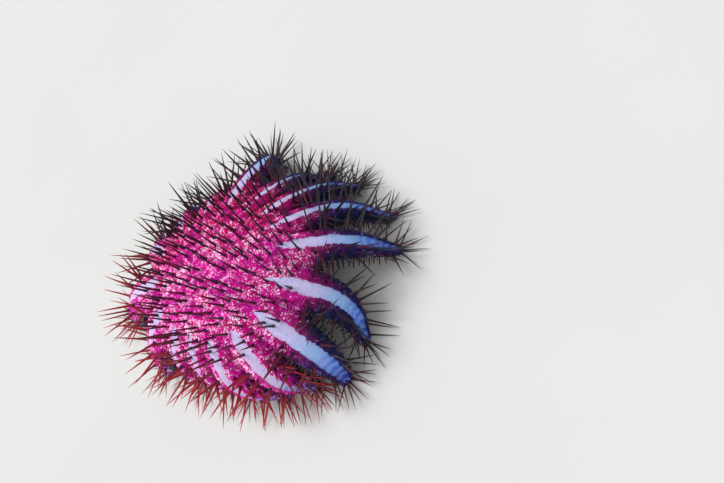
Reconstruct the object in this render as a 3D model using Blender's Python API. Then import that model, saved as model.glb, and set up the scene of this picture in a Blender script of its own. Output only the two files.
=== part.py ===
"""Crown of thorns starfish, life size, as it stands with its back raised in a dome.

Metres, +Z up. The disc is held up on the tips of sixteen arms, mouth down. The origin is on the
floor under the middle of the whole animal, spines included.
"""

import math
import random
from collections import namedtuple

import bpy
import numpy as np

# The arms, anticlockwise seen from above, from the one nearest the viewer: heading in degrees,
# length over the back from the disc's middle, and how far the arm bends sideways, in degrees.
Arm = namedtuple("Arm", "heading length side_bend")
ARMS = (
    Arm(-94, 0.161, -42),
    Arm(-68, 0.167, -4),
    Arm(-50, 0.172, -18),
    Arm(-35, 0.168, 0),
    Arm(-19, 0.164, -3),
    Arm(-1, 0.186, 40),
    Arm(27, 0.157, -2),
    Arm(51, 0.165, -2),
    Arm(75, 0.178, -11),
    Arm(101, 0.190, 2),
    Arm(128, 0.166, 0),
    Arm(149, 0.150, -10),
    Arm(167, 0.150, 34),
    Arm(188, 0.154, 40),
    Arm(212, 0.152, 24),
    Arm(238, 0.157, -14),
)
ARM_COUNT = len(ARMS)

# The disc's middle in the part's frame, which puts the origin under the middle of the whole box.
DISC_X = -0.0243
DISC_Y = -0.0172
BACK_HEIGHT = 0.091
FLAT_DEPTH = 0.0009

# The dome: the back's slope grows from the middle outward, and eases again at the tips.
CURL_POWER = 1.27
CURL_LENGTH = 0.160
LEAST_CURL = math.radians(30)
MOST_CURL = math.radians(150)
HALVINGS = 24
TOE_SHARE = 0.14
TOE_OUT = math.radians(34)
STATION = 0.001

# The body: thickness, and the arms' width and taper.
DISC_EDGE = 0.078
MIDDLE_DEPTH = 0.027
EDGE_DEPTH = 0.024
TIP_DEPTH = 0.0076
DEPTH_TAPER = 1.9
TIP_WIDTH_SHARE = 0.33
WIDTH_TAPER = 2.3
ARM_WIDTH_SHARE = 0.92
WEB = 0.003
VALLEY_START = 0.42
BLEND = 0.018
PART_GAP = 0.0003
ROOT_CLEARANCE = 0.985
GROOVE = 0.0032
GROOVE_REACH = 0.4
TIP_GROOVE_SHARE = 0.4
TIP_CAP = 0.0015
BLUNT_TIP = 0.72
SEAT_RADIUS = 0.026
FULL_UNDERSIDE = 0.93

# How finely the solids are divided.
SECTION_ANGLES = (-90, -60, -30, 0, 30, 60, 90)
DISC_STATIONS = (0.026, 0.046, 0.063, 0.078)
ARM_SHARES = (0.0, 0.10, 0.22, 0.36, 0.50, 0.63, 0.75, 0.85, 0.93, 0.98)

# Spines: cones rooted in the back and the flanks. Angles are in degrees, and a tilt is off the back.
SPINE_SIDES = 5
SPINE_SINK = 0.0045
SPINE_RADIUS = 0.0016
SPINE_SPREAD = 0.12
ANGLE_SPREAD = 5
PLACE_SPREAD = 0.15
DISC_SPINE_LENGTH = 0.024
DISC_EDGE_SPINE_LENGTH = 0.028
ARM_SPINE_LENGTH = 0.031
TIP_SPINE_LENGTH = 0.023
SHORT_SPINE = 0.75
DISC_SPINE_RINGS = (0.011, 0.025, 0.039, 0.053, 0.067)
DISC_SPINE_STEP = 0.0138
DISC_TILTS = (4, 0, -6, -12)
SpineRow = namedtuple("SpineRow", "across tilt count stagger")
ARM_SPINE_ROWS = (SpineRow(0.52, 24, 6, 0.0), SpineRow(0.93, 74, 6, 0.3))
TILT_SHARES = (1.0, 0.75, 0.5, 0.25)
LEAN_TO_TIP = 16
# Spines stand more upright than the back does, by this share of the vertical, until it fades on the arms.
UPRIGHT = 0.65
UPRIGHT_FADE = 0.036
ROW_MARGIN = 0.004
Fan = namedtuple("Fan", "across tilt lean")
TIP_FANS = (Fan(-0.68, -40, 20), Fan(-0.27, -14, 34), Fan(0.27, 14, 34), Fan(0.68, 40, 20))
LEAN_SHARES = (2.4, 1.6, 0.8, 0.0)
ROOT_SHARE = 0.12
TRACE_POINTS = 12
SPINE_CLEAR = 0.0038
BODY_CLEAR = 0.0026
FLOOR_CLEAR = 0.0012
SEED = 7

# Tube feet, in two rows along each arm's groove.
FOOT_SIDES = 4
FOOT_RADIUS = 0.0014
FOOT_LENGTH = 0.0070
FOOT_SINK = 0.0030
FOOT_ROW = 0.27
FOOT_SHARES = (0.16, 0.48)
FOOT_SPLAY = 12
TIP_FOOT_SHARE = 0.65
FOOT_END = 0.9

# The mouth's ring, under the disc.
MOUTH_SIDES = 16
MOUTH_PROFILE = ((0.0150, 0.0), (0.0120, -0.0030), (0.0060, -0.0034), (0.0, -0.0014))

COLOURS = {
    "disc": (0.42, 0.03, 0.20),
    "arm": (0.30, 0.10, 0.38),
    "mouth": (0.55, 0.42, 0.50),
}
SKIN_ROUGHNESS = 0.45
SHARP_ANGLE = math.radians(40)


def smooth(value):
    """0 to 1 as value goes from 0 to 1, level at both ends."""
    t = min(max(value, 0.0), 1.0)
    return t * t * (3 - 2 * t)


class Ribbon:
    """A line over the back from the disc's middle, with its frame: along, out of the back, across."""

    def __init__(self, heading, turn, length, side_bend=0.0):
        self.length = length
        along = np.array([math.cos(heading), math.sin(heading), 0.0])
        out = np.array([0.0, 0.0, 1.0])
        across = np.cross(out, along)
        point = np.array([DISC_X, DISC_Y, BACK_HEIGHT])
        frames = [(point, along, out, across)]
        count = int(round((length + TIP_CAP) / STATION))
        for i in range(count):
            here, there = i * STATION, (i + 1) * STATION
            pitch = self.slope(there, turn) - self.slope(here, turn)
            yaw = side_bend * (self.sideways(there) - self.sideways(here))
            before = along
            along, out = (
                along * math.cos(pitch) - out * math.sin(pitch),
                out * math.cos(pitch) + along * math.sin(pitch),
            )
            along, across = (
                along * math.cos(yaw) + across * math.sin(yaw),
                across * math.cos(yaw) - along * math.sin(yaw),
            )
            point = point + (before + along) / 2 * STATION
            frames.append((point, along, out, across))
        self.frames = [np.array(column) for column in zip(*frames)]

    def slope(self, station, turn):
        toe = smooth((station / self.length - (1 - TOE_SHARE)) / TOE_SHARE)
        return turn * (station / CURL_LENGTH) ** CURL_POWER - TOE_OUT * toe

    def sideways(self, station):
        return smooth((station - DISC_EDGE) / (self.length - DISC_EDGE))

    def at(self, station):
        """Point, along, out and across at a distance from the disc's middle."""
        share = min(max(station / STATION, 0.0), len(self.frames[0]) - 1.001)
        i = int(share)
        t = share - i
        return [column[i] * (1 - t) + column[i + 1] * t for column in self.frames]


def arm_share(arm, station):
    """0 at the arm's root and 1 at its tip."""
    return min(max((station - DISC_EDGE) / (arm.length - DISC_EDGE), 0.0), 1.0)


def body_depth(arm, station):
    """The body's thickness, from back to underside."""
    if station < DISC_EDGE:
        return MIDDLE_DEPTH + (EDGE_DEPTH - MIDDLE_DEPTH) * smooth(station / DISC_EDGE)
    return TIP_DEPTH + (EDGE_DEPTH - TIP_DEPTH) * (1 - arm_share(arm, station) ** DEPTH_TAPER)


def turn_to_floor(arm):
    """The curl that brings this arm's toe down to the floor, and a little into it."""
    low, high = LEAST_CURL, MOST_CURL
    for _ in range(HALVINGS):
        turn = (low + high) / 2
        ribbon = Ribbon(math.radians(arm.heading), turn, arm.length, math.radians(arm.side_bend))
        heights = []
        for share in ARM_SHARES[-5:]:
            station = DISC_EDGE + share * (arm.length - DISC_EDGE)
            origin, _, out, _ = ribbon.at(station)
            heights.append(origin[2] - FULL_UNDERSIDE * body_depth(arm, station) * out[2])
        if min(heights) > -FLAT_DEPTH:
            low = turn
        else:
            high = turn
    return turn


TURNS = [turn_to_floor(arm) for arm in ARMS]


def half_gap(index, side):
    """Half the angle from an arm to its neighbour on that side, +1 anticlockwise."""
    other = ARMS[(index + side) % ARM_COUNT].heading
    return math.radians((side * (other - ARMS[index].heading)) % 360) / 2


class ArmShape:
    """One arm and its wedge of the disc. u runs across it, -1 to 1, and 0 is the back's ridge."""

    def __init__(self, index):
        self.index = index
        self.arm = ARMS[index]
        self.length = self.arm.length
        self.heading = math.radians(self.arm.heading)
        self.middle = Ribbon(
            self.heading, TURNS[index], self.length, math.radians(self.arm.side_bend)
        )
        edge = self.middle.at(DISC_EDGE)[0] - self.middle.at(0)[0]
        spread = (half_gap(index, 1) + half_gap(index, -1)) / 2
        self.root_width = ARM_WIDTH_SHARE * math.hypot(edge[0], edge[1]) * math.sin(spread)
        self.lines = {}

    def line(self, u):
        """The straight line over the dome at u, between this arm's ridge and the valleys beside it."""
        if u not in self.lines:
            side = 1 if u >= 0 else -1
            gap = half_gap(self.index, side)
            share = (1 - math.cos(math.pi * abs(u) / 2)) / 2
            neighbour = TURNS[(self.index + side) % ARM_COUNT]
            turn = TURNS[self.index] * (1 - share) + neighbour * share
            self.lines[u] = Ribbon(self.heading + u * gap, turn, self.length)
        return self.lines[u]

    def half_width(self, station):
        taper = 1 - arm_share(self.arm, station) ** WIDTH_TAPER
        return self.root_width * (TIP_WIDTH_SHARE + (1 - TIP_WIDTH_SHARE) * taper)

    def under_back(self, station, u, underside):
        """How far the surface lies below the ridge line."""
        depth = body_depth(self.arm, station)
        on_disc = station <= DISC_EDGE
        fall = depth / 2 - (WEB / 2 if on_disc else 0)
        fall *= smooth((station / DISC_EDGE - VALLEY_START) / (1 - VALLEY_START))
        fall *= 1 - math.sqrt(max(0.0, 1 - u * u))
        if not underside:
            return fall
        groove = GROOVE * max(0.0, 1 - abs(u) / GROOVE_REACH) * smooth(station / DISC_EDGE)
        shallower = 1 - (1 - TIP_GROOVE_SHARE) * arm_share(self.arm, station)
        return depth - fall - groove * shallower

    def point(self, station, u, underside=False):
        """A point of the body's surface."""
        under = self.under_back(station, u, underside)
        clearance = ROOT_CLEARANCE if station > DISC_EDGE else 1.0
        origin, _, out, _ = self.line(round(u * clearance, 6)).at(station)
        on_dome = origin - under * out
        origin, _, out, across = self.middle.at(station)
        on_arm = origin + u * self.half_width(station) * across - under * out
        share = smooth((station - DISC_EDGE) / BLEND)
        return on_dome * (1 - share) + on_arm * share


SHAPES = [ArmShape(index) for index in range(ARM_COUNT)]
SECTION = [math.sin(math.radians(angle)) for angle in SECTION_ANGLES]


def mesh_object(name, points, faces):
    """A closed mesh object, faces outward, in the scene."""
    mesh = bpy.data.meshes.new(name)
    mesh.from_pydata([tuple(point) for point in points], [], faces)
    mesh.update()
    made = bpy.data.objects.new(name, mesh)
    bpy.context.scene.collection.objects.link(made)
    return made


def paint(made, kind):
    """Gives a node its own material."""
    material = bpy.data.materials.new(made.name + "_skin")
    material.use_nodes = True
    shader = material.node_tree.nodes["Principled BSDF"]
    shader.inputs["Base Color"].default_value = (*COLOURS[kind], 1)
    shader.inputs["Roughness"].default_value = SKIN_ROUGHNESS
    shader.inputs["Metallic"].default_value = 0.0
    made.data.materials.clear()
    made.data.materials.append(material)


def bridge(low, high):
    """Quads between two closed rings of the same count, split alike."""
    count = len(low)
    faces = []
    for i in range(count):
        j = (i + 1) % count
        faces.append((low[i], low[j], high[j]))
        faces.append((low[i], high[j], high[i]))
    return faces


def arm_body(shape):
    """The arm as a closed tube of rings, from the cut at the disc's edge to a blunt tip."""
    root = DISC_EDGE + PART_GAP
    points, rings = [], []
    for share in ARM_SHARES:
        station = root + share * (shape.length - root)
        ring = [shape.point(station, u) for u in SECTION]
        ring += [shape.point(station, u, underside=True) for u in SECTION[-2:0:-1]]
        if share == ARM_SHARES[-1]:
            middle = sum(ring) / len(ring)
            ring = [middle + (point - middle) * BLUNT_TIP for point in ring]
        rings.append(range(len(points), len(points) + len(ring)))
        points += ring
    faces = []
    for low, high in zip(rings, rings[1:]):
        faces += bridge(low, high)
    tip, _, out, _ = shape.middle.at(shape.length + TIP_CAP)
    points.append(tip - out * TIP_DEPTH * 0.5)
    last = len(points) - 1
    faces += [(a, b, last) for a, b in zip(rings[-1], [*rings[-1][1:], rings[-1][0]])]
    for point in points:
        point[2] = max(point[2], 0.0)
    return points, root_cut(rings[0]) + [tuple(reversed(face)) for face in faces]


def root_cut(ring):
    """The face at the arm's root, split as the disc's wall is so that the two lie flat together."""
    last = len(SECTION) - 1
    top = ring[: last + 1]
    bottom = [ring[0], *reversed(ring[last + 1 :]), ring[last]]
    faces = []
    for i in range(last):
        if i > 0:
            faces.append((top[i], top[i + 1], bottom[i]))
        if i < last - 1:
            faces.append((top[i + 1], bottom[i + 1], bottom[i]))
    return faces


def disc_body():
    """The disc as a back and an underside of rings that meet at a wall, where the arms begin."""
    columns = [(shape, u) for shape in SHAPES for u in SECTION[:-1]]
    points, layers = [], []
    for underside in (False, True):
        layer = []
        for station in DISC_STATIONS:
            ring = [shape.point(station, u, underside) for shape, u in columns]
            if underside and station <= SEAT_RADIUS:
                level = seat_height()
                ring = [np.array([point[0], point[1], level]) for point in ring]
            layer.append(range(len(points), len(points) + len(ring)))
            points += ring
        height = seat_height() if underside else BACK_HEIGHT
        points.append(np.array([DISC_X, DISC_Y, height]))
        layers.append((layer, len(points) - 1))
    faces = []
    for underside, (layer, middle) in enumerate(layers):
        side = [(a, b, middle) for a, b in zip(layer[0], [*layer[0][1:], layer[0][0]])]
        for low, high in zip(layer, layer[1:]):
            side += bridge(high, low)
        faces += [tuple(reversed(face)) for face in side] if underside else side
    faces += bridge(layers[1][0][-1], layers[0][0][-1])
    return points, faces


def seat_height():
    """The level of the flat under the disc that the mouth sits on."""
    heights = [shape.point(SEAT_RADIUS, 0.0, underside=True)[2] for shape in SHAPES]
    return sum(heights) / len(heights)


def mouth_body():
    """The mouth's ring, turned from its profile, hung just under its seat."""
    top = seat_height() - PART_GAP
    points, rings = [], []
    for radius, height in MOUTH_PROFILE[:-1]:
        rings.append(range(len(points), len(points) + MOUTH_SIDES))
        for i in range(MOUTH_SIDES):
            angle = 2 * math.pi * i / MOUTH_SIDES
            x, y = DISC_X + radius * math.cos(angle), DISC_Y + radius * math.sin(angle)
            points.append((x, y, top + height))
    points.append((DISC_X, DISC_Y, top + MOUTH_PROFILE[-1][1]))
    last = len(points) - 1
    faces = [tuple(rings[0])]
    for low, high in zip(rings, rings[1:]):
        faces += bridge(high, low)
    faces += [(b, a, last) for a, b in zip(rings[-1], [*rings[-1][1:], rings[-1][0]])]
    return points, faces


def rod(root, direction, length, radius, sink, sides, end_share):
    """A tapering rod, from below the surface at root to its end. An end_share of 0 makes a point."""
    side = np.cross(direction, (0.0, 0.0, 1.0))
    if np.linalg.norm(side) < 0.1:
        side = np.cross(direction, (1.0, 0.0, 0.0))
    side = side / np.linalg.norm(side)
    other = np.cross(direction, side)
    start, end = root - sink * direction, root + length * direction
    wheel = [
        math.cos(2 * math.pi * i / sides) * side + math.sin(2 * math.pi * i / sides) * other
        for i in range(sides)
    ]
    points = [start + radius * spoke for spoke in wheel]
    faces = [tuple(range(sides))]
    if end_share:
        points += [end + radius * end_share * spoke for spoke in wheel]
        faces += bridge(range(sides, 2 * sides), range(sides))
        faces.append(tuple(range(2 * sides - 1, sides - 1, -1)))
    else:
        points.append(end)
        faces += [((i + 1) % sides, i, sides) for i in range(sides)]
    return points, [tuple(reversed(face)) for face in faces]


class Spine:
    """A spine's root, direction and length, and the node it grows from."""

    def __init__(self, node, root, direction, length):
        self.node = node
        self.root = root
        self.direction = direction
        self.length = length

    def trace(self):
        """Points along the spine, clear of its root."""
        shares = np.linspace(ROOT_SHARE, 1.0, TRACE_POINTS)[:, None]
        return self.root + shares * self.length * self.direction


def tipped(direction, along, across, lean, tilt):
    """direction tipped towards along by lean and towards across by tilt, in degrees."""
    lean, tilt = math.radians(lean), math.radians(tilt)
    moved = direction + math.tan(lean) * along + math.tan(tilt) * across
    return moved / np.linalg.norm(moved)


def upright(out, station):
    """out turned towards the vertical, as spines are on the disc and the near part of the arms."""
    share = UPRIGHT * (1 - smooth((station - DISC_EDGE) / UPRIGHT_FADE))
    turned = out + share * np.array([0.0, 0.0, 1.0])
    return turned / np.linalg.norm(turned)


def arm_axis(shape):
    """Points down the middle of an arm's flesh, each with the flesh's half width there."""
    found = []
    for share in np.linspace(0.06, 1.0, TRACE_POINTS):
        station = DISC_EDGE + share * (shape.length - DISC_EDGE)
        origin, _, out, _ = shape.middle.at(station)
        middle = origin - out * body_depth(shape.arm, station) / 2
        found.append((middle, shape.half_width(station)))
    return found


AXES = [arm_axis(shape) for shape in SHAPES]


def is_clear(spine, traces, own_arm):
    """Whether a spine stays off the floor, the other arms and the spines that are already set."""
    trace = spine.trace()
    if trace[:, 2].min() < FLOOR_CLEAR:
        return False
    for index, axis in enumerate(AXES):
        if index == own_arm:
            continue
        for middle, half_width in axis:
            if np.linalg.norm(trace - middle, axis=1).min() < half_width + BODY_CLEAR:
                return False
    if not traces:
        return True
    away = np.linalg.norm(trace[None, :, None] - np.array(traces)[:, None], axis=3)
    return away.min() > SPINE_CLEAR


class SpineSet:
    """The spines set so far. Each new one takes the first of its choices that is clear, if any is."""

    def __init__(self):
        self.draw = random.Random(SEED)
        self.spines = []
        self.traces = []

    def place(self, choices, own_arm=None):
        for spine in choices:
            if is_clear(spine, self.traces, own_arm):
                self.spines.append(spine)
                self.traces.append(spine.trace())
                return

    def spread(self, amount):
        return self.draw.uniform(-amount, amount)

    def varied(self, length):
        return length * (1 + self.spread(SPINE_SPREAD))

    def cover_disc(self):
        """Rings of spines over the disc, set a step apart."""
        for ring, station in enumerate(DISC_SPINE_RINGS):
            start = SHAPES[0].middle.at(0)[0]
            radius = np.linalg.norm((SHAPES[0].middle.at(station)[0] - start)[:2])
            count = round(2 * math.pi * radius / DISC_SPINE_STEP)
            for i in range(count):
                turn = (i + 0.5 * (ring % 2) + self.spread(PLACE_SPREAD)) / count
                shape, u = wedge_at(2 * math.pi * turn)
                root = shape.point(station, u)
                _, along, out, across = shape.line(u).at(station)
                out = upright(out, station)
                growth = (DISC_EDGE_SPINE_LENGTH - DISC_SPINE_LENGTH) * station / DISC_EDGE
                length = self.varied(DISC_SPINE_LENGTH + growth)
                lean, tilt = self.spread(ANGLE_SPREAD), self.spread(ANGLE_SPREAD)
                self.place(
                    Spine("disc", root, tipped(out, along, across, lean + more, tilt), length)
                    for more in DISC_TILTS
                )

    def cover_arm(self, shape):
        """Rows of spines down both sides of an arm, and a fan at its tip."""
        node = node_name(shape.index)
        for row in ARM_SPINE_ROWS:
            for i in range(row.count):
                for side in (-1, 1):
                    step = i + 0.6 + row.stagger * side + self.spread(PLACE_SPREAD)
                    share = step / (row.count + 0.4)
                    reach = shape.length - DISC_EDGE - 2 * ROW_MARGIN
                    station = DISC_EDGE + ROW_MARGIN + share * reach
                    root = shape.point(station, side * row.across)
                    _, along, out, across = shape.middle.at(station)
                    out = upright(out, station)
                    shrink = (ARM_SPINE_LENGTH - TIP_SPINE_LENGTH) * share**2
                    length = self.varied(ARM_SPINE_LENGTH - shrink)
                    lean = LEAN_TO_TIP * share + self.spread(ANGLE_SPREAD)
                    self.place(
                        (
                            Spine(node, root, tipped(out, along, side * across, lean, tilt), size)
                            for size in (length, length * SHORT_SPINE)
                            for tilt in (row.tilt * part for part in TILT_SHARES)
                        ),
                        shape.index,
                    )
        station = shape.length - ROW_MARGIN
        _, along, out, across = shape.middle.at(station)
        for fan in TIP_FANS:
            root = shape.point(station, fan.across)
            self.place(
                (
                    Spine(node, root, tipped(out, along, across, fan.lean * part, fan.tilt), size)
                    for size in (TIP_SPINE_LENGTH, TIP_SPINE_LENGTH * SHORT_SPINE)
                    for part in LEAN_SHARES
                ),
                shape.index,
            )


def wedge_at(angle):
    """The arm and the u whose line over the disc has this heading."""
    for shape in SHAPES:
        away = math.remainder(angle - shape.heading, 2 * math.pi)
        side = 1 if away >= 0 else -1
        u = away / half_gap(shape.index, side)
        if abs(u) <= 1.0001:
            return shape, round(max(-0.999, min(0.999, u)), 4)
    raise ValueError(angle)


def all_spines():
    """Every spine, each clear of the rest."""
    grown = SpineSet()
    grown.cover_disc()
    for shape in SHAPES:
        grown.cover_arm(shape)
    return grown.spines


def arm_feet(shape):
    """Tube feet in pairs along the arm's groove, as rods that point out of the underside."""
    made = []
    for share in FOOT_SHARES:
        station = DISC_EDGE + share * (shape.length - DISC_EDGE)
        for side in (-1, 1):
            root = shape.point(station, side * FOOT_ROW, underside=True)
            _, along, out, across = shape.middle.at(station)
            direction = tipped(-out, along, across, 0, FOOT_SPLAY * side)
            length = FOOT_LENGTH * (1 - (1 - TIP_FOOT_SHARE) * share)
            made.append(
                rod(root, direction, length, FOOT_RADIUS, FOOT_SINK, FOOT_SIDES, FOOT_END)
            )
    return made


def fuse(body, pieces):
    """Joins small closed pieces to a node by one Boolean, which is applied, and removes them."""
    group = bpy.data.collections.new(body.name + "_grown")
    bpy.context.scene.collection.children.link(group)
    for number, (points, faces) in enumerate(pieces):
        piece = mesh_object(f"{body.name}_piece_{number}", points, faces)
        bpy.context.scene.collection.objects.unlink(piece)
        group.objects.link(piece)
    union = body.modifiers.new("grown", "BOOLEAN")
    union.operation = "UNION"
    union.operand_type = "COLLECTION"
    union.collection = group
    union.solver = "EXACT"
    graph = bpy.context.evaluated_depsgraph_get()
    joined = bpy.data.meshes.new_from_object(body.evaluated_get(graph))
    body.modifiers.clear()
    body.data = joined
    for piece in list(group.objects):
        bpy.data.objects.remove(piece)
    bpy.data.collections.remove(group)
    keep_largest(body)


def keep_largest(body):
    """Leaves only the largest closed surface of a mesh."""
    faces = [tuple(polygon.vertices) for polygon in body.data.polygons]
    points = [np.array(vertex.co) for vertex in body.data.vertices]
    leader = list(range(len(points)))

    def lead(i):
        while leader[i] != i:
            leader[i] = leader[leader[i]]
            i = leader[i]
        return i

    for face in faces:
        for corner in face[1:]:
            leader[lead(corner)] = lead(face[0])
    groups = {}
    for face in faces:
        groups.setdefault(lead(face[0]), []).append(face)
    largest = max(groups.values(), key=lambda group: span(points, group))
    used = sorted({corner for face in largest for corner in face})
    place = {corner: number for number, corner in enumerate(used)}
    kept = bpy.data.meshes.new(body.name)
    kept.from_pydata(
        [tuple(points[corner]) for corner in used],
        [],
        [tuple(place[corner] for corner in face) for face in largest],
    )
    body.data = kept


def span(points, faces):
    """The diagonal of the box round a group of faces."""
    corners = np.array([points[corner] for face in faces for corner in face])
    return float(np.linalg.norm(corners.max(axis=0) - corners.min(axis=0)))


def node_name(index):
    return f"arm_{index + 1:02d}"


def main():
    for old in list(bpy.data.objects):
        bpy.data.objects.remove(old)
    spines = all_spines()
    bodies = {"disc": disc_body(), "mouth": mouth_body()}
    grown = {"disc": [], "mouth": []}
    for shape in SHAPES:
        bodies[node_name(shape.index)] = arm_body(shape)
        grown[node_name(shape.index)] = arm_feet(shape)
    for spine in spines:
        grown[spine.node].append(
            rod(spine.root, spine.direction, spine.length, SPINE_RADIUS, SPINE_SINK, SPINE_SIDES, 0)
        )
    for name, (points, faces) in bodies.items():
        body = mesh_object(name, points, faces)
        if grown[name]:
            fuse(body, grown[name])
        paint(body, name.split("_")[0])
        body.data.shade_smooth()
        body.data.set_sharp_from_angle(angle=SHARP_ANGLE)


main()
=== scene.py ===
"""Looks of the crown of thorns starfish: skin, papulae, spines, tube feet, mouth, floor, light and camera.

Metres, +Z up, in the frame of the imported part. The body's shape is worked out from the same named
sizes as the part's, and everything that grows on it is placed by station, the distance over the back
from the disc's middle, and by u, which runs across an arm from -1 to 1.
"""

import math
from collections import namedtuple

import bpy
import numpy as np
from mathutils import Matrix, Vector, noise


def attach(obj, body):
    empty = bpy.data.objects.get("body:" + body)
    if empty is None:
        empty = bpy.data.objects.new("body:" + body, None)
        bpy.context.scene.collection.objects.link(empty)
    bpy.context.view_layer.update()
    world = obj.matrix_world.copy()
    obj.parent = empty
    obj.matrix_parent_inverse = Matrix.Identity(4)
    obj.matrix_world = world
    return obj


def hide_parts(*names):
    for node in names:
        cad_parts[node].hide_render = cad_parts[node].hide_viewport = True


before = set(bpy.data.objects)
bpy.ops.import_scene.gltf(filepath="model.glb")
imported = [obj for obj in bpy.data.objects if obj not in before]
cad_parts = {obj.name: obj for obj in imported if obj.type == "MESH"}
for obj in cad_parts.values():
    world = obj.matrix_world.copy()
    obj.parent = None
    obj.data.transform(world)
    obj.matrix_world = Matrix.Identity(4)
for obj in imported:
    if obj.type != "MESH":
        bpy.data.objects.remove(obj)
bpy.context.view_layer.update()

# The arms, anticlockwise seen from above, from the one nearest the viewer: heading in degrees,
# length over the back from the disc's middle, how far the arm bends sideways, in degrees, and the
# width of the pale band along its ridge. Headings, lengths and bends follow a least-squares fit to
# points on the photograph's bands and arm tips, and were partly altered since.
Arm = namedtuple("Arm", "heading length side_bend band")
ARMS = (
    Arm(-94, 0.161, -42, 0.0098),
    Arm(-68, 0.167, -4, 0.0086),
    Arm(-50, 0.172, -18, 0.0072),
    Arm(-35, 0.168, 0, 0.0058),
    Arm(-19, 0.164, -3, 0.0052),
    Arm(-1, 0.186, 40, 0.0096),
    Arm(27, 0.157, -2, 0.0054),
    Arm(51, 0.165, -2, 0.0072),
    Arm(75, 0.178, -11, 0.0084),
    Arm(101, 0.190, 2, 0.0096),
    Arm(128, 0.166, 0, 0.0094),
    Arm(149, 0.150, -10, 0.0088),
    Arm(167, 0.150, 34, 0.0080),
    Arm(188, 0.154, 40, 0.0086),
    Arm(212, 0.152, 24, 0.0084),
    Arm(238, 0.157, -14, 0.0112),
)
ARM_COUNT = len(ARMS)
LONGEST_ARM = max(arm.length for arm in ARMS)

# The disc's middle, and the dome's slope, which grows from the middle outward and eases at the tips.
DISC_X = -0.0243
DISC_Y = -0.0172
BACK_HEIGHT = 0.091
FLAT_DEPTH = 0.0009
CURL_POWER = 1.27
CURL_LENGTH = 0.160
LEAST_CURL = math.radians(30)
MOST_CURL = math.radians(150)
HALVINGS = 24
TOE_SHARE = 0.14
TOE_OUT = math.radians(34)
STATION = 0.001

# The body: thickness, and the arms' width and taper.
DISC_EDGE = 0.078
MIDDLE_DEPTH = 0.027
EDGE_DEPTH = 0.024
TIP_DEPTH = 0.0076
DEPTH_TAPER = 1.9
TIP_WIDTH_SHARE = 0.33
WIDTH_TAPER = 2.3
ARM_WIDTH_SHARE = 0.92
WEB = 0.003
VALLEY_START = 0.42
BLEND = 0.018
GROOVE = 0.0032
GROOVE_REACH = 0.4
TIP_GROOVE_SHARE = 0.4
FULL_UNDERSIDE = 0.93
TOE_SHARES = (0.63, 0.75, 0.85, 0.93, 0.98)
SEAT_RADIUS = 0.026

# The skin: how finely it is divided, and how far it lies inside the solids, which hold the papulae.
SKIN_STEP = 0.0014
BACK_CELLS = 28
UNDERSIDE_CELLS = 16
SKIN_INSET = 0.0012
ROUND_TIP = 0.006
TIP_LEFT = 0.985
TIP_POINT = 0.0004
FAR_FROM_BAND = -0.01

# The pale band along each arm's ridge.
BAND_START = 0.046
BAND_RAMP = 0.030
WARM_RAMP_SHARE = 0.45
BAND_MOST_OF_ARM = 0.52
BAND_RAGGED = 0.0010
RAGGED_SIZE = 0.0024
WAVE_SIZE = 0.014
CLUMP_SIZE = 0.0042
BAND_TAPER = 0.35
BAND_CUT = 0.003
BAND_ROOT_WHITE = 0.75
BAND_BLUE_RAMP = (0.34, 0.30)
TIP_BLUE_RAMP = (0.60, 0.25)
CHEVRON_STEP = 0.0075
CHEVRON_SLANT = 0.0065
CHEVRON_WANDER = 0.0028

# Papulae: soft fingers set close over the back and flanks, outside the bands.
PAPULA_STEP = 0.00142
PAPULA_RADIUS = 0.00066
PAPULA_HEIGHT = 0.0017
PAPULA_SINK = 0.0004
PAPULA_LEAN = 0.35
PAPULA_SIDES = 5
PAPULA_RINGS = ((0.0, 0.95), (0.5, 1.0), (0.86, 0.68))
PALE_SHARE = 0.28
PALE_FADE = 0.34
PAPULA_ROW_SHARE = 0.87
PAPULA_SCATTER = 0.3
PAPULA_MARGIN = 0.002
PAPULA_FLOOR_ROOM = 0.0022
PAPULA_FLOOR_CLEAR = 0.0002
BAND_OVERLAP = (-0.0003, 0.0005)
ARMS_PER_COAT = 3

# Spines. Angles are in degrees, and a tilt is off the back.
SPINE_SIDES = 8
KNOB_RADIUS = 0.00116
KNOB_HEIGHT = 0.0042
KNOB_RINGS = ((-0.30, 1.0), (0.15, 1.08), (0.50, 1.0), (0.85, 0.84))
SHAFT_RADIUS = 0.00080
ARM_SPINE_EXTRA = 0.22
SHAFT_RINGS = ((0.22, 1.0), (0.45, 0.82), (0.68, 0.56), (0.87, 0.28))
SPINE_SPREAD = 0.14
ANGLE_SPREAD = 5
PLACE_SPREAD = 0.28
SPINE_BEND = 0.0012
SPINE_RIPPLE = 0.08
TIP_THINNER = 0.38
DISC_SPINE_LENGTH = 0.023
DISC_EDGE_SPINE_LENGTH = 0.028
ARM_SPINE_LENGTH = 0.031
TIP_SPINE_LENGTH = 0.023
DISC_SPINE_RINGS = (0.007, 0.016, 0.025, 0.034, 0.043, 0.052, 0.061, 0.070)
DISC_SPINE_STEP = 0.0100
DISC_LEANS = (0, 6, 12)
SpineRow = namedtuple("SpineRow", "across tilt count stagger")
ARM_SPINE_ROWS = (SpineRow(0.60, 20, 8, 0.0), SpineRow(0.82, 46, 5, 0.25), SpineRow(0.98, 72, 3, 0.0))
LEAN_TO_TIP = 16
UPRIGHT = 0.65
UPRIGHT_FADE = 0.036
ROW_MARGIN = 0.003
Fan = namedtuple("Fan", "across tilt lean")
TIP_FANS = (
    Fan(-0.85, -58, 14), Fan(-0.62, -38, 24), Fan(-0.38, -20, 34), Fan(-0.12, -6, 44),
    Fan(0.12, 6, 30), Fan(0.38, 20, 40), Fan(0.62, 38, 22), Fan(0.85, 58, 12),
)
TRACE_POINTS = 10
ROOT_SHARE = 0.2
SHORTER = 0.75
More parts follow.
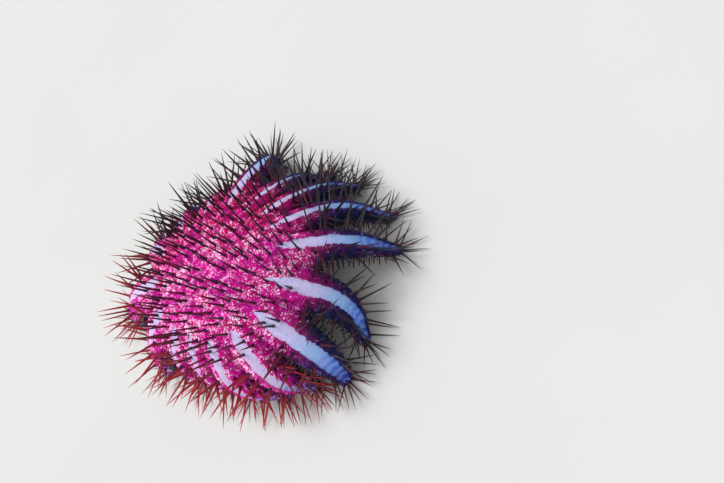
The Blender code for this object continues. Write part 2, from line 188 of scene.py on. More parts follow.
TILT_SHARES = (1.0, 0.85, 0.7, 0.5)
MOST_TILT = 80
FAN_LEAN_SHARES = (2.0, 1.3, 0.7, 0.0)
FAN_STAGGER = 0.004
SPINE_NEAR = 0.05
SPINE_CLEAR = 0.0026
BODY_CLEAR = 0.0006
FLOOR_CLEAR = 0.0008
SEED = 11

# The side of the body painted as lit, where the spines are red and the skin keeps its magenta to the
# arms' ends, partly their own colours and partly painted light; away from it, painted shade.
WARM_LIT_HEADING = math.radians(150)
WARM_REACH = 0.075
WARM_LIT_DELAY = 0.30
COLD_SHADE_LEAD = 0.26
COLD_SHADE = 1.7

# The side where the magenta is deepest, with fewer pale papulae.
DEEP_HEADING = math.radians(25)
DEEP_REACH = 0.060

# The side where the arms' spines stand apart, and the share of them that is left out there.
SPARSE_HEADING = math.radians(130)
SPARSE_SHARE = 0.4

# How the skin changes along an arm, as (start, span) by share of the arm, and down its flanks, by u;
# the flanks darken to navy, partly their own colour and partly painted shade where they face down.
PURPLE_RAMP = (0.26, 0.34)
BLUE_RAMP = (0.52, 0.32)
FLANK_RAMP = (0.62, 0.38)
FLANK_START = (0.055, 0.04)

# Where, away from the lit side, the papulae begin to darken towards the arms' ends, as painted shade.
COLD_SHADE_START = 0.045
COLD_SHADE_RAMP = 0.050

# Tube feet in two rows along each groove, and the short spines beside them. A row's fingers start at
# the seat and stop a margin short of the tip, and lie at across, a u. A tilt is away from the groove.
FOOT_SIDES = 6
FOOT_RINGS = ((-0.25, 0.9), (0.3, 0.8), (0.72, 0.72), (0.86, 1.35), (1.0, 1.25))
GROOVE_SPINE_RINGS = ((-0.3, 1.0), (0.4, 0.95), (0.85, 0.75))
GROOVE_SPINE_LENGTH = 0.0065
GROOVE_SPINE_RADIUS = 0.0007
FingerRow = namedtuple("FingerRow", "count margin across shift tilt scatter length lengths radius rings")
FOOT_ROW = FingerRow(24, 0.004, 0.17, 0.25, 14, 0.12, 0.0068, (0.75, 1.05), 0.00105, FOOT_RINGS)
GROOVE_SPINE_ROWS = tuple(
    FingerRow(
        26, 0.005, across, 0, tilt, 0.10, GROOVE_SPINE_LENGTH * longer, (0.8, 1.1),
        GROOVE_SPINE_RADIUS * longer, GROOVE_SPINE_RINGS,
    )
    for across, tilt, longer in ((0.40, 0, 1.0), (0.58, 18, 1.25), (0.80, 40, 1.5))
)
LEAST_FOOT = 0.45
LEAST_ROOM = 0.0022
TOE_CLEAR = 0.0006

# The mouth, under the disc, and the sieve plates on the back.
MOUTH_SIDES = 96
MOUTH_PROFILE = (
    (0.0155, -0.0002), (0.0150, -0.0016), (0.0134, -0.0027), (0.0108, -0.0031), (0.0080, -0.0030),
    (0.0055, -0.0033), (0.0036, -0.0028), (0.0026, -0.0012), (0.0022, 0.0012),
)
MOUTH_FOLD = 0.0005
JAW_SPINES = 3
JAW_SPINE_LENGTH = 0.0052
JAW_SPINE_RADIUS = 0.0007
JAW_RADIUS = 0.0128
JAW_STEP = 0.11
MOUTH_PATCH = 0.04
SIEVES = ((0.024, 18), (0.029, 92), (0.026, 151), (0.030, 232), (0.025, 305))
SIEVE_RADIUS = 0.0021
SIEVE_HEIGHT = 0.0012
SIEVE_SIDES = 40
SIEVE_RINGS = 9
SIEVE_FOLDS = 13
SIEVE_GROOVE = 0.00022
SIEVE_WOBBLE = 0.06

# The unwrap that every piece's bake map shares: heading across, station up, back above underside.
SKIN_MAP_MARGIN = 0.01
TUFT_PATCH = 0.003
SPINE_PATCH = 0.008

# The photograph's frame and camera, which is held by where the disc's middle falls in the picture.
# The middle, distance, tilt and turn come from the fit that the arms follow.
PHOTO_WIDTH = 724
PHOTO_HEIGHT = 483
MIDDLE_PIXEL = (205.2, 268.6)
FOCAL_PIXELS = 520
CAMERA_DISTANCE = 0.380
CAMERA_TILT = math.radians(31.04)
CAMERA_TURN = math.radians(37.93)
SENSOR_WIDTH = 36
FLOOR_SIZE = 40

# The lights: heading, height and spread in degrees, and strength. The sky's colour is linear.
Light = namedtuple("Light", "name heading height spread power")
LIGHTS = (Light("key", 85, 66, 30, 2.75), Light("fill", -130, 42, 80, 0.8))
SKY_COLOUR = (0.90, 0.91, 0.92)
SKY_STRENGTH = 0.40

# How far each colour of light spreads in flesh, in proportion.
FLESH_TINT = (1.0, 0.25, 0.75)

# Colours, as 8-bit sRGB.
MAGENTA = (244, 0, 186)
CRIMSON = (206, 0, 86)
PURPLE = (104, 4, 136)
BLUE = (30, 34, 136)
NAVY = (10, 12, 44)
PALE_PINK = (255, 214, 248)
ROSE = (255, 44, 206)
PALE_BLUE = (86, 104, 214)
BAND_WHITE = (220, 200, 238)
BAND_LILAC = (142, 182, 236)
BAND_BLUE = (12, 92, 220)
TIP_BLUE = (0, 34, 150)
UNDERSIDE_PALE = (198, 168, 150)
UNDERSIDE_PURPLE = (120, 84, 120)
KNOB_PURPLE = (52, 8, 44)
SHAFT_MAROON = (66, 10, 22)
SHAFT_RED = (190, 22, 30)
SHAFT_GREEN = (5, 28, 26)
SHAFT_BROWN = (30, 17, 20)
FOOT_COLOUR = (176, 128, 112)
SUCKER_COLOUR = (204, 168, 126)
MOUTH_COLOUR = (214, 170, 168)
SIEVE_COLOUR = (226, 116, 186)
FLOOR_COLOUR = (208, 208, 206)

draw = np.random.default_rng(SEED)


def linear(colour):
    """An 8-bit sRGB colour as linear values."""
    share = np.array(colour, float) / 255
    return np.where(share <= 0.04045, share / 12.92, ((share + 0.055) / 1.055) ** 2.4)


def smooth(value):
    """0 to 1 as value goes from 0 to 1, level at both ends."""
    t = np.clip(value, 0.0, 1.0)
    return t * t * (3 - 2 * t)


def ramp(value, start, span):
    """0 up to start, rising smoothly to 1 a span further on."""
    return smooth((value - start) / span)


def mixed(first, second, share):
    """first where share is 0 and second where it is 1, for colours or points."""
    share = np.asarray(share, float)[..., None]
    return np.asarray(first) * (1 - share) + np.asarray(second) * share


def unit(vectors):
    """Vectors at length one."""
    return vectors / np.maximum(np.linalg.norm(vectors, axis=-1, keepdims=True), 1e-12)


class Ribbon:
    """A line over the back from the disc's middle, with its frame: along, out of the back, across."""

    def __init__(self, heading, turn, length, side_bend=0.0):
        count = int(round(length / STATION)) + 2
        stations = np.arange(count) * STATION
        toe = ramp(stations / length, 1 - TOE_SHARE, TOE_SHARE)
        slopes = turn * (stations / CURL_LENGTH) ** CURL_POWER - TOE_OUT * toe
        yaws = side_bend * ramp(stations, DISC_EDGE, length - DISC_EDGE)
        along = np.array([math.cos(heading), math.sin(heading), 0.0])
        out = np.array([0.0, 0.0, 1.0])
        across = np.cross(out, along)
        point = np.array([DISC_X, DISC_Y, BACK_HEIGHT])
        frames = [(point, along, out, across)]
        for pitch, yaw in zip(np.diff(slopes), np.diff(yaws)):
            before = along
            along, out = (
                along * math.cos(pitch) - out * math.sin(pitch),
                out * math.cos(pitch) + along * math.sin(pitch),
            )
            along, across = (
                along * math.cos(yaw) + across * math.sin(yaw),
                across * math.cos(yaw) - along * math.sin(yaw),
            )
            point = point + (before + along) / 2 * STATION
            frames.append((point, along, out, across))
        self.stations = stations
        self.frames = [np.array(column) for column in zip(*frames)]

    def at(self, stations):
        """Points, along, out and across at distances from the disc's middle."""
        return [
            np.stack([np.interp(stations, self.stations, column[:, i]) for i in range(3)], axis=-1)
            for column in self.frames
        ]


def arm_share(arm, stations):
    """0 at the arm's root and 1 at its tip."""
    return np.clip((stations - DISC_EDGE) / (arm.length - DISC_EDGE), 0.0, 1.0)


def body_depth(arm, stations):
    """The body's thickness, from back to underside."""
    on_disc = MIDDLE_DEPTH + (EDGE_DEPTH - MIDDLE_DEPTH) * smooth(stations / DISC_EDGE)
    on_arm = TIP_DEPTH + (EDGE_DEPTH - TIP_DEPTH) * (1 - arm_share(arm, stations) ** DEPTH_TAPER)
    return np.where(stations < DISC_EDGE, on_disc, on_arm)


def turn_to_floor(arm):
    """The curl that brings this arm's toe down to the floor, and a little into it."""
    low, high = LEAST_CURL, MOST_CURL
    stations = DISC_EDGE + np.array(TOE_SHARES) * (arm.length - DISC_EDGE)
    for _ in range(HALVINGS):
        turn = (low + high) / 2
        ribbon = Ribbon(math.radians(arm.heading), turn, arm.length, math.radians(arm.side_bend))
        origins, _, outs, _ = ribbon.at(stations)
        heights = origins[:, 2] - FULL_UNDERSIDE * body_depth(arm, stations) * outs[:, 2]
        if heights.min() > -FLAT_DEPTH:
            low = turn
        else:
            high = turn
    return turn


TURNS = [turn_to_floor(arm) for arm in ARMS]


def half_gap(index, side):
    """Half the angle from an arm to its neighbour on that side, +1 anticlockwise."""
    other = ARMS[(index + side) % ARM_COUNT].heading
    return math.radians((side * (other - ARMS[index].heading)) % 360) / 2


class ArmShape:
    """One arm and its wedge of the disc. u runs across it, -1 to 1, and 0 is the back's ridge."""

    def __init__(self, index):
        self.index = index
        self.arm = ARMS[index]
        self.length = self.arm.length
        self.heading = math.radians(self.arm.heading)
        self.middle = Ribbon(
            self.heading, TURNS[index], self.length, math.radians(self.arm.side_bend)
        )
        edge = self.middle.at(DISC_EDGE)[0] - self.middle.at(0)[0]
        spread = (half_gap(index, 1) + half_gap(index, -1)) / 2
        self.root_width = ARM_WIDTH_SHARE * math.hypot(edge[0], edge[1]) * math.sin(spread)
        self.lines = {}
        disc_rows = round(DISC_EDGE / SKIN_STEP)
        arm_rows = round((self.length - DISC_EDGE) / SKIN_STEP)
        self.stations = np.concatenate([
            np.linspace(0, DISC_EDGE, disc_rows + 1),
            np.linspace(DISC_EDGE, self.length, arm_rows + 1)[1:],
        ])
        self.edge_row = disc_rows
        self.back_us = np.sin(np.linspace(-math.pi / 2, math.pi / 2, BACK_CELLS + 1))
        self.under_us = np.sin(np.linspace(-math.pi / 2, math.pi / 2, UNDERSIDE_CELLS + 1))
        self.build_grids()

    def line(self, u):
        """The straight line over the dome at u, between this arm's ridge and the valleys beside it."""
        key = round(float(u), 6)
        if key not in self.lines:
            side = 1 if u >= 0 else -1
            gap = half_gap(self.index, side)
            share = (1 - math.cos(math.pi * abs(u) / 2)) / 2
            neighbour = TURNS[(self.index + side) % ARM_COUNT]
            turn = TURNS[self.index] * (1 - share) + neighbour * share
            self.lines[key] = Ribbon(self.heading + u * gap, turn, self.length)
        return self.lines[key]

    def half_width(self, stations):
        taper = 1 - arm_share(self.arm, stations) ** WIDTH_TAPER
        return self.root_width * (TIP_WIDTH_SHARE + (1 - TIP_WIDTH_SHARE) * taper)

    def under_back(self, stations, u, underside):
        """How far the surface lies below the ridge line."""
        depth = body_depth(self.arm, stations)
        fall = depth / 2 - np.where(stations <= DISC_EDGE + STATION / 2, WEB / 2, 0)
        fall = fall * ramp(stations / DISC_EDGE, VALLEY_START, 1 - VALLEY_START)
        fall = fall * (1 - math.sqrt(max(0.0, 1 - u * u)))
        if not underside:
            return fall
        groove = GROOVE * max(0.0, 1 - abs(u) / GROOVE_REACH) * smooth(stations / DISC_EDGE)
        shallower = 1 - (1 - TIP_GROOVE_SHARE) * arm_share(self.arm, stations)
        return depth - fall - groove * shallower

    def column(self, stations, u, underside):
        """Points of the body's surface along one u."""
        under = self.under_back(stations, u, underside)[:, None]
        origin, _, out, _ = self.line(u).at(stations)
        on_dome = origin - under * out
        origin, _, out, across = self.middle.at(stations)
        on_arm = origin + u * self.half_width(stations)[:, None] * across - under * out
        return mixed(on_dome, on_arm, ramp(stations, DISC_EDGE, BLEND))

    def build_grids(self):
        """Grids of the back and the underside, each a row a station, with their outward normals."""
        self.back = np.stack([self.column(self.stations, u, False) for u in self.back_us], axis=1)
        self.under = np.stack([self.column(self.stations, u, True) for u in self.under_us], axis=1)
        self.round_off_tip()
        self.back_normals = grid_normals(self.back)
        self.under_normals = -grid_normals(self.under)
        self.back_widths = np.linalg.norm(np.diff(self.back, axis=1), axis=2).cumsum(axis=1)

    def round_off_tip(self):
        """Draws the last rows in, so that the tip is round."""
        into = (self.stations - (self.length - ROUND_TIP)) / ROUND_TIP
        share = np.sqrt(np.clip(1 - np.clip(into, 0, TIP_LEFT) ** 2, 0, 1))[:, None, None]
        middle = (self.back.mean(axis=1) + self.under.mean(axis=1))[:, None] / 2
        self.back = middle + (self.back - middle) * share
        self.under = middle + (self.under - middle) * share

    def grid_place(self, stations, us, grid_us):
        """Where stations and us lie in a grid, as rows and columns with fractions."""
        rows = np.interp(stations, self.stations, np.arange(len(self.stations)))
        return rows, np.interp(us, grid_us, np.arange(len(grid_us)))

    def on_back(self, stations, us):
        """Points, normals and along of the back where stations and us say."""
        rows, columns = self.grid_place(stations, us, self.back_us)
        points = between(self.back, rows, columns)
        normals = unit(between(self.back_normals, rows, columns))
        ahead = between(self.back, np.minimum(rows + 0.5, len(self.stations) - 1.01), columns)
        behind = between(self.back, np.maximum(rows - 0.5, 0), columns)
        return points, normals, unit(ahead - behind)

    def on_underside(self, stations, us):
        """Points and outward normals of the underside."""
        rows, columns = self.grid_place(stations, us, self.under_us)
        return between(self.under, rows, columns), unit(between(self.under_normals, rows, columns))


def grid_normals(grid):
    """Normals of a grid of points whose rows run along the arm and columns across it."""
    return unit(np.cross(np.gradient(grid, axis=0), np.gradient(grid, axis=1)))


def between(grid, rows, columns):
    """Values of a grid at places between its rows and columns."""
    rows = np.clip(rows, 0, grid.shape[0] - 1.001)
    columns = np.clip(columns, 0, grid.shape[1] - 1.001)
    row, column = rows.astype(int), columns.astype(int)
    down, over = (rows - row)[:, None], (columns - column)[:, None]
    near = grid[row, column] * (1 - over) + grid[row, column + 1] * over
    far = grid[row + 1, column] * (1 - over) + grid[row + 1, column + 1] * over
    return near * (1 - down) + far * down


SHAPES = [ArmShape(index) for index in range(ARM_COUNT)]


def wedge_at(angle):
    """The arm and the u whose line over the disc has this heading."""
    for shape in SHAPES:
        away = math.remainder(angle - shape.heading, 2 * math.pi)
        side = 1 if away >= 0 else -1
        u = away / half_gap(shape.index, side)
        if abs(u) <= 1.0001:
            return shape, max(-0.999, min(0.999, u))
    raise ValueError(angle)


def ragged(points, size):
    """Smooth noise about zero at points, with features of this size."""
    return np.array([noise.noise(Vector(point) / size) for point in points])


def band_edge(shape, stations, us, points):
    """How far inside the pale band's edge each point lies, in metres: negative is outside it."""
    arm = shape.arm
    width = np.interp(stations, shape.stations, shape.back_widths[:, -1]) / 2
    off_ridge = np.abs(np.arcsin(np.clip(us, -1, 1))) / (math.pi / 2) * width
    length = BAND_RAMP * (1 - (1 - WARM_RAMP_SHARE) * warm_lit_side(points))
    start = ramp(stations, BAND_START, length)
    half = np.minimum(arm.band / 2, BAND_MOST_OF_ARM * width) * start
    half = half * (1 - BAND_TAPER * ramp(arm_share(arm, stations), 0.7, 0.3))
    half = half - BAND_CUT * (1 - ramp(stations, BAND_START - 0.006, 0.010))
    wander = ragged(points, RAGGED_SIZE) + ragged(points, CLUMP_SIZE) + 0.7 * ragged(points, WAVE_SIZE)
    return half - off_ridge + BAND_RAGGED * wander


def ground_colour(shape, stations, us, points):
    """The skin between the bands: magenta on the disc, through purple and blue to navy, with painted
    shade: darker down the flanks and away from the lit side.
    """
    share = arm_share(shape.arm, stations)
    clouds = 0.5 + 0.9 * ragged(points, WAVE_SIZE)
    low = ramp(np.abs(us), *FLANK_RAMP) * ramp(stations, *FLANK_START)
    deep = side_share(points, DEEP_HEADING, DEEP_REACH)
    colour = mixed(linear(MAGENTA), linear(CRIMSON), np.clip(0.75 * clouds + 0.6 * deep, 0, 1))
    # Painted light and shade, with some real change of colour: the lit side keeps its magenta further out,
    # the other side turns purple sooner and is darkened.
    warm_and_lit = warm_lit_side(points)
    cold_shaded = COLD_SHADE_LEAD * (1 - warm_and_lit) * ramp(share, 0, 0.08)
    change = share + cold_shaded - WARM_LIT_DELAY * warm_and_lit
    colour = mixed(colour, linear(PURPLE), ramp(change + 0.25 * low, *PURPLE_RAMP))
    colour = mixed(colour, linear(BLUE), ramp(change + 0.30 * low, *BLUE_RAMP))
    # Painted shade down the flanks, with some of their own darker colour: they darken to navy, less so on
    # the lit side.
    dark = low * (0.40 + 0.55 * ramp(share, 0, 0.30)) * (1 - 0.6 * warm_and_lit)
    colour = mixed(colour, linear(NAVY), dark)
    # Painted shade: the skin darkened away from the lit side.
    return colour * (1 - COLD_SHADE * cold_shaded)[:, None]


def band_colour(shape, stations, us, points):
    """The bands: near white, then lilac, and blue with darker chevrons at the tips; whiter on the lit
    side, partly as painted light.
    """
    share = arm_share(shape.arm, stations)
    warm_and_lit = warm_lit_side(points)
    near_root = BAND_ROOT_WHITE * (1 - ramp(share, 0, 0.40))
    # Whiter on the lit side, partly as painted light.
    colour = mixed(linear(BAND_LILAC), linear(BAND_WHITE), np.maximum(warm_and_lit, near_root))
    wander = CHEVRON_WANDER * (ragged(points, WAVE_SIZE) + 0.5 * ragged(points, CLUMP_SIZE))
    slant = stations - CHEVRON_SLANT * np.abs(us) + wander
    strength = 0.7 + 0.3 * smooth(0.5 + ragged(points + 1, WAVE_SIZE))
    stripes = strength * smooth(0.5 + 1.0 * np.sin(slant * 2 * math.pi / CHEVRON_STEP))
    colour = mixed(colour, linear(BAND_BLUE), ramp(share, *BAND_BLUE_RAMP) * (0.40 + 0.60 * stripes))
    # Darkest blue at the tips: partly the band's own colour, partly painted shade on tips that turn down.
    return mixed(colour, linear(TIP_BLUE), ramp(share, *TIP_BLUE_RAMP) * (0.40 + 0.60 * stripes))


def underside_colour(shape, stations, us):
    """The underside: pale by the groove, purple towards the flanks."""
    side = ramp(np.abs(us), 0.35, 0.5)
    colour = mixed(linear(UNDERSIDE_PALE), linear(UNDERSIDE_PURPLE), side)
    return mixed(colour, linear(NAVY), side * ramp(stations, 0.06, 0.08) * 0.75)


def skin_map(shape, stations, us, underside=False):
    """Where a place on the skin lies in the unwrap."""
    across = (shape.index + 0.5 + 0.48 * np.asarray(us)) / ARM_COUNT
    across = SKIN_MAP_MARGIN + (1 - 2 * SKIN_MAP_MARGIN) * across
    up = np.asarray(stations) / LONGEST_ARM * (0.5 - 2 * SKIN_MAP_MARGIN) + SKIN_MAP_MARGIN
    across, up = np.broadcast_arrays(across, up if underside else 1 - up)
    return np.stack([across, up], axis=-1)


def new_mesh(name, points, triangles, colours, patches, extra=()):
    """A mesh object with a colour and any further values at each point, and none below the floor.

    patches has a place on the bake map for each point, or for each corner of each triangle.
    """
    points = np.maximum(points, (-np.inf, -np.inf, 0.0))
    mesh = bpy.data.meshes.new(name)
    mesh.vertices.add(len(points))
    mesh.vertices.foreach_set("co", np.ravel(points))
    mesh.loops.add(len(triangles) * 3)
    mesh.loops.foreach_set("vertex_index", np.ravel(triangles))
    mesh.polygons.add(len(triangles))
    mesh.polygons.foreach_set("loop_start", np.arange(len(triangles)) * 3)
    mesh.update(calc_edges=True)
    for label, values in (("tone", colours), *extra):
        kind, field = "FLOAT", "value"
        if np.ndim(values) == 2:
            kind, field = "FLOAT_COLOR", "color"
            values = np.column_stack([values, np.ones(len(points))])
        mesh.attributes.new(label, kind, "POINT").data.foreach_set(field, np.ravel(values))
    corners = patches[triangles] if patches.ndim == 2 else patches
    layer = mesh.uv_layers.new(name="OFBake")
    layer.data.foreach_set("uv", np.ravel(corners))
    mesh.shade_smooth()
    mesh.validate()
    made = bpy.data.objects.new(name, mesh)
    bpy.context.scene.collection.objects.link(made)
    return made


def side_frames(directions):
    """Two unit vectors across each direction."""
    flat = np.abs(directions[:, 2]) > 0.9
    helper = np.where(flat[:, None], (1.0, 0.0, 0.0), (0.0, 0.0, 1.0))
    first = unit(np.cross(directions, helper))
    return first, np.cross(directions, first)


def finger_triangles(sides, rings):
    """Triangles of one closed-ended finger of rings and a tip, open where it is rooted."""
    found = []
    for ring in range(rings - 1):
        for i in range(sides):
            j = (i + 1) % sides
            low, high = ring * sides, (ring + 1) * sides
            found += [(low + i, low + j, high + j), (low + i, high + j, high + i)]
    top, tip = (rings - 1) * sides, rings * sides
    found += [(top + i, top + (i + 1) % sides, tip) for i in range(sides)]
    return np.array(found)


def fingers(roots, directions, heights, radii, rings, sides, bends=0.0, ripple=0.0):
    """Points of many fingers at once: rings are (share of the height, share of the radius)."""
    first, second = side_frames(directions)
    turns = np.arange(sides)[None, :, None] * 2 * math.pi / sides
    spokes = np.cos(turns) * first[:, None] + np.sin(turns) * second[:, None]
    levels = []
    for share, width in rings:
        share = np.broadcast_to(share, heights.shape)
        middle = roots + directions * (share * heights)[:, None]
        middle = middle + bends * (np.maximum(share, 0.0) ** 2)[:, None]
        widths = np.broadcast_to((radii * width)[:, None], (len(roots), sides))
        if ripple:
            widths = widths * draw.uniform(1 - ripple, 1 + ripple, widths.shape)
        levels.append(middle[:, None] + spokes * widths[..., None])
    tip = roots + directions * heights[:, None] + bends
    return np.concatenate([*levels, tip[:, None]], axis=1)


def ring_tones(rings, tip, sides):
    """Colours of a finger's points, from a colour or a list of colours for each ring and the tip."""
    return np.stack([ring for ring in rings for _ in range(sides)] + [tip], axis=-2)


def patch_points(places, sides, rings, size):
    """Bake-map points of each finger: a round patch at its root, its tip at the patch's middle."""
    turns = np.arange(sides) * 2 * math.pi / sides
    rim = np.stack([np.cos(turns), np.sin(turns)], axis=-1) * size / 2
    levels = [places[:, None] + rim[None] * (1 - ring / rings) for ring in range(rings)]
    return np.concatenate([*levels, places[:, None]], axis=1)


def joined_fingers(name, points, tones, places, sides, rings, patch):
    """One mesh of many fingers. tones and points have a row for each finger."""
    per_finger = sides * rings + 1
    starts = np.arange(len(points))[:, None, None] * per_finger
    triangles = (finger_triangles(sides, rings)[None] + starts).reshape(-1, 3)
    patches = patch_points(places, sides, rings, patch)
    return new_mesh(
        name, points.reshape(-1, 3), triangles, tones.reshape(-1, 3), patches.reshape(-1, 2)
    )


def skin_points():
    """The skin's grids drawn in by the papulae's depth, and numbered so that neighbours share points."""
    points, numbers = [], {}

    def number(key, point):
        if key not in numbers:
            numbers[key] = len(points)
            points.append(point)
        return numbers[key]

    backs, unders = [], []
    for shape in SHAPES:
        side_normals = unit(shape.back_normals[:, [0, -1]] + shape.under_normals[:, [0, -1]])
        back_normals = shape.back_normals.copy()
        back_normals[shape.edge_row + 1 :, [0, -1]] = side_normals[shape.edge_row + 1 :]
        back = shape.back - SKIN_INSET * back_normals
        under_share = ramp(np.abs(shape.under_us), 0.6, 0.4) * SKIN_INSET
        on_arm = ramp(shape.stations, DISC_EDGE, BLEND)[:, None] * under_share[None]
        under = shape.under - on_arm[..., None] * shape.under_normals
        back_ids = np.zeros(back.shape[:2], int)
        under_ids = np.zeros(under.shape[:2], int)
        after = (shape.index + 1) % ARM_COUNT
        for grid, ids, label in ((back, back_ids, "back"), (under, under_ids, "under")):
            last = grid.shape[1] - 1
            for row in range(grid.shape[0]):
                for column in range(grid.shape[1]):
                    if row == 0:
                        key = (label, "middle")
                    elif row <= shape.edge_row and column in (0, last):
                        valley = shape.index if column == last else (shape.index - 1) % ARM_COUNT
                        key = (label, "valley", valley, row)
                    elif column in (0, last):
                        key = ("flank", shape.index, column == last, row)
                    else:
                        key = (label, shape.index, row, column)
                    ids[row, column] = number(key, grid[row, column])
        backs.append(back_ids)
        unders.append(under_ids)
    points = np.array(points)
    points[:, 2] = np.maximum(points[:, 2], 0.0)
    return points, backs, unders


def grid_corners(ids, flipped):
    """Triangles over a grid of point numbers, as places in the grid, without those that fold flat."""
    cells = np.arange(ids.size).reshape(ids.shape)
    a, b, c, d = cells[:-1, :-1], cells[1:, :-1], cells[1:, 1:], cells[:-1, 1:]
    found = np.concatenate([
        np.stack([a, b, c], axis=-1).reshape(-1, 3),
        np.stack([a, c, d], axis=-1).reshape(-1, 3),
    ])
    first, second, third = ids.ravel()[found].T
    found = found[(first != second) & (second != third) & (first != third)]
    return found[:, ::-1] if flipped else found


def grid_triangles(ids, flipped):
    """Triangles over a grid of point numbers."""
    return ids.ravel()[grid_corners(ids, flipped)]


def make_skin():
    """One closed skin over the disc and all the arms."""
    points, backs, unders = skin_points()
    count = len(points)
    triangles, patches, tips = [], [], []
    for shape in SHAPES:
        back, under = backs[shape.index], unders[shape.index]
        back_map = skin_map(shape, shape.stations[:, None], shape.back_us[None])
        under_map = skin_map(shape, shape.stations[:, None], shape.under_us[None], True)
        for ids, places, flipped in ((back, back_map, False), (under, under_map, True)):
            corners = grid_corners(ids, flipped)
            triangles.append(ids.ravel()[corners])
            patches.append(places.reshape(-1, 2)[corners])
        edge = shape.edge_row
        for ids, places in ((triangles, (back, under)), (patches, (back_map, under_map))):
            top, low = places
            ids.append(np.array([
                (top[edge, -1], top[edge + 1, -1], low[edge, -1]),
                (top[edge, 0], low[edge, 0], top[edge + 1, 0]),
            ]))
        ring = [*back[-1], *under[-1][-2:0:-1]]
        rim = [*back_map[-1], *under_map[-1][-2:0:-1]]
        tips.append(points[ring].mean(axis=0) + shape.middle.at(shape.length)[1] * TIP_POINT)
        last = count + shape.index
        end = np.array([back_map[-1].mean(axis=0)[0], 0.5])
        triangles.append(np.array([(a, b, last) for a, b in zip(ring[1:] + ring[:1], ring)]))
        patches.append(np.array([(a, b, end) for a, b in zip(rim[1:] + rim[:1], rim)]))
    points = np.vstack([points, tips])
    tones = np.tile(linear(NAVY), (len(points), 1))
    bands = np.tile(linear(TIP_BLUE), (len(points), 1))
    edges = np.full(len(points), FAR_FROM_BAND)
    for shape in SHAPES:
        for ids, us, underside in (
            (unders[shape.index], shape.under_us, True),
            (backs[shape.index], shape.back_us, False),
        ):
            flat = ids.ravel()
            stations = np.repeat(shape.stations, len(us))
            across = np.tile(us, len(shape.stations))
            if underside:
                tones[flat] = underside_colour(shape, stations, across)
            else:
                tones[flat] = ground_colour(shape, stations, across, points[flat])
                bands[flat] = band_colour(shape, stations, across, points[flat])
                edges[flat] = band_edge(shape, stations, across, points[flat])
    return new_mesh(
        "skin", points, np.vstack(triangles), tones, np.vstack(patches),
        (("band", bands), ("edge", edges * 1000)),
    )


def papula_places(shape):
    """Stations and us that cover one arm and its wedge with papulae, a step apart."""
    stations, us = [], []
    reach = shape.length - PAPULA_MARGIN
    for row, station in enumerate(np.arange(PAPULA_MARGIN, reach, PAPULA_STEP * PAPULA_ROW_SHARE)):
        widths = np.array([
            np.interp(station, shape.stations, shape.back_widths[:, column])
            for column in range(shape.back_widths.shape[1])
        ])
        count = max(1, int(round(widths[-1] / PAPULA_STEP)))
        scatter = draw.uniform(-PAPULA_SCATTER, PAPULA_SCATTER, count)
        shares = (np.arange(count) + 0.25 + 0.5 * (row % 2) + scatter) / count
        row_us = np.interp(np.clip(shares, 0, 1) * widths[-1], [0, *widths], shape.back_us)
        us += list(row_us)
        scatter = draw.uniform(-PAPULA_SCATTER, PAPULA_SCATTER, count)
        stations += list(station + scatter * PAPULA_STEP)
    return np.array(stations), np.array(us)


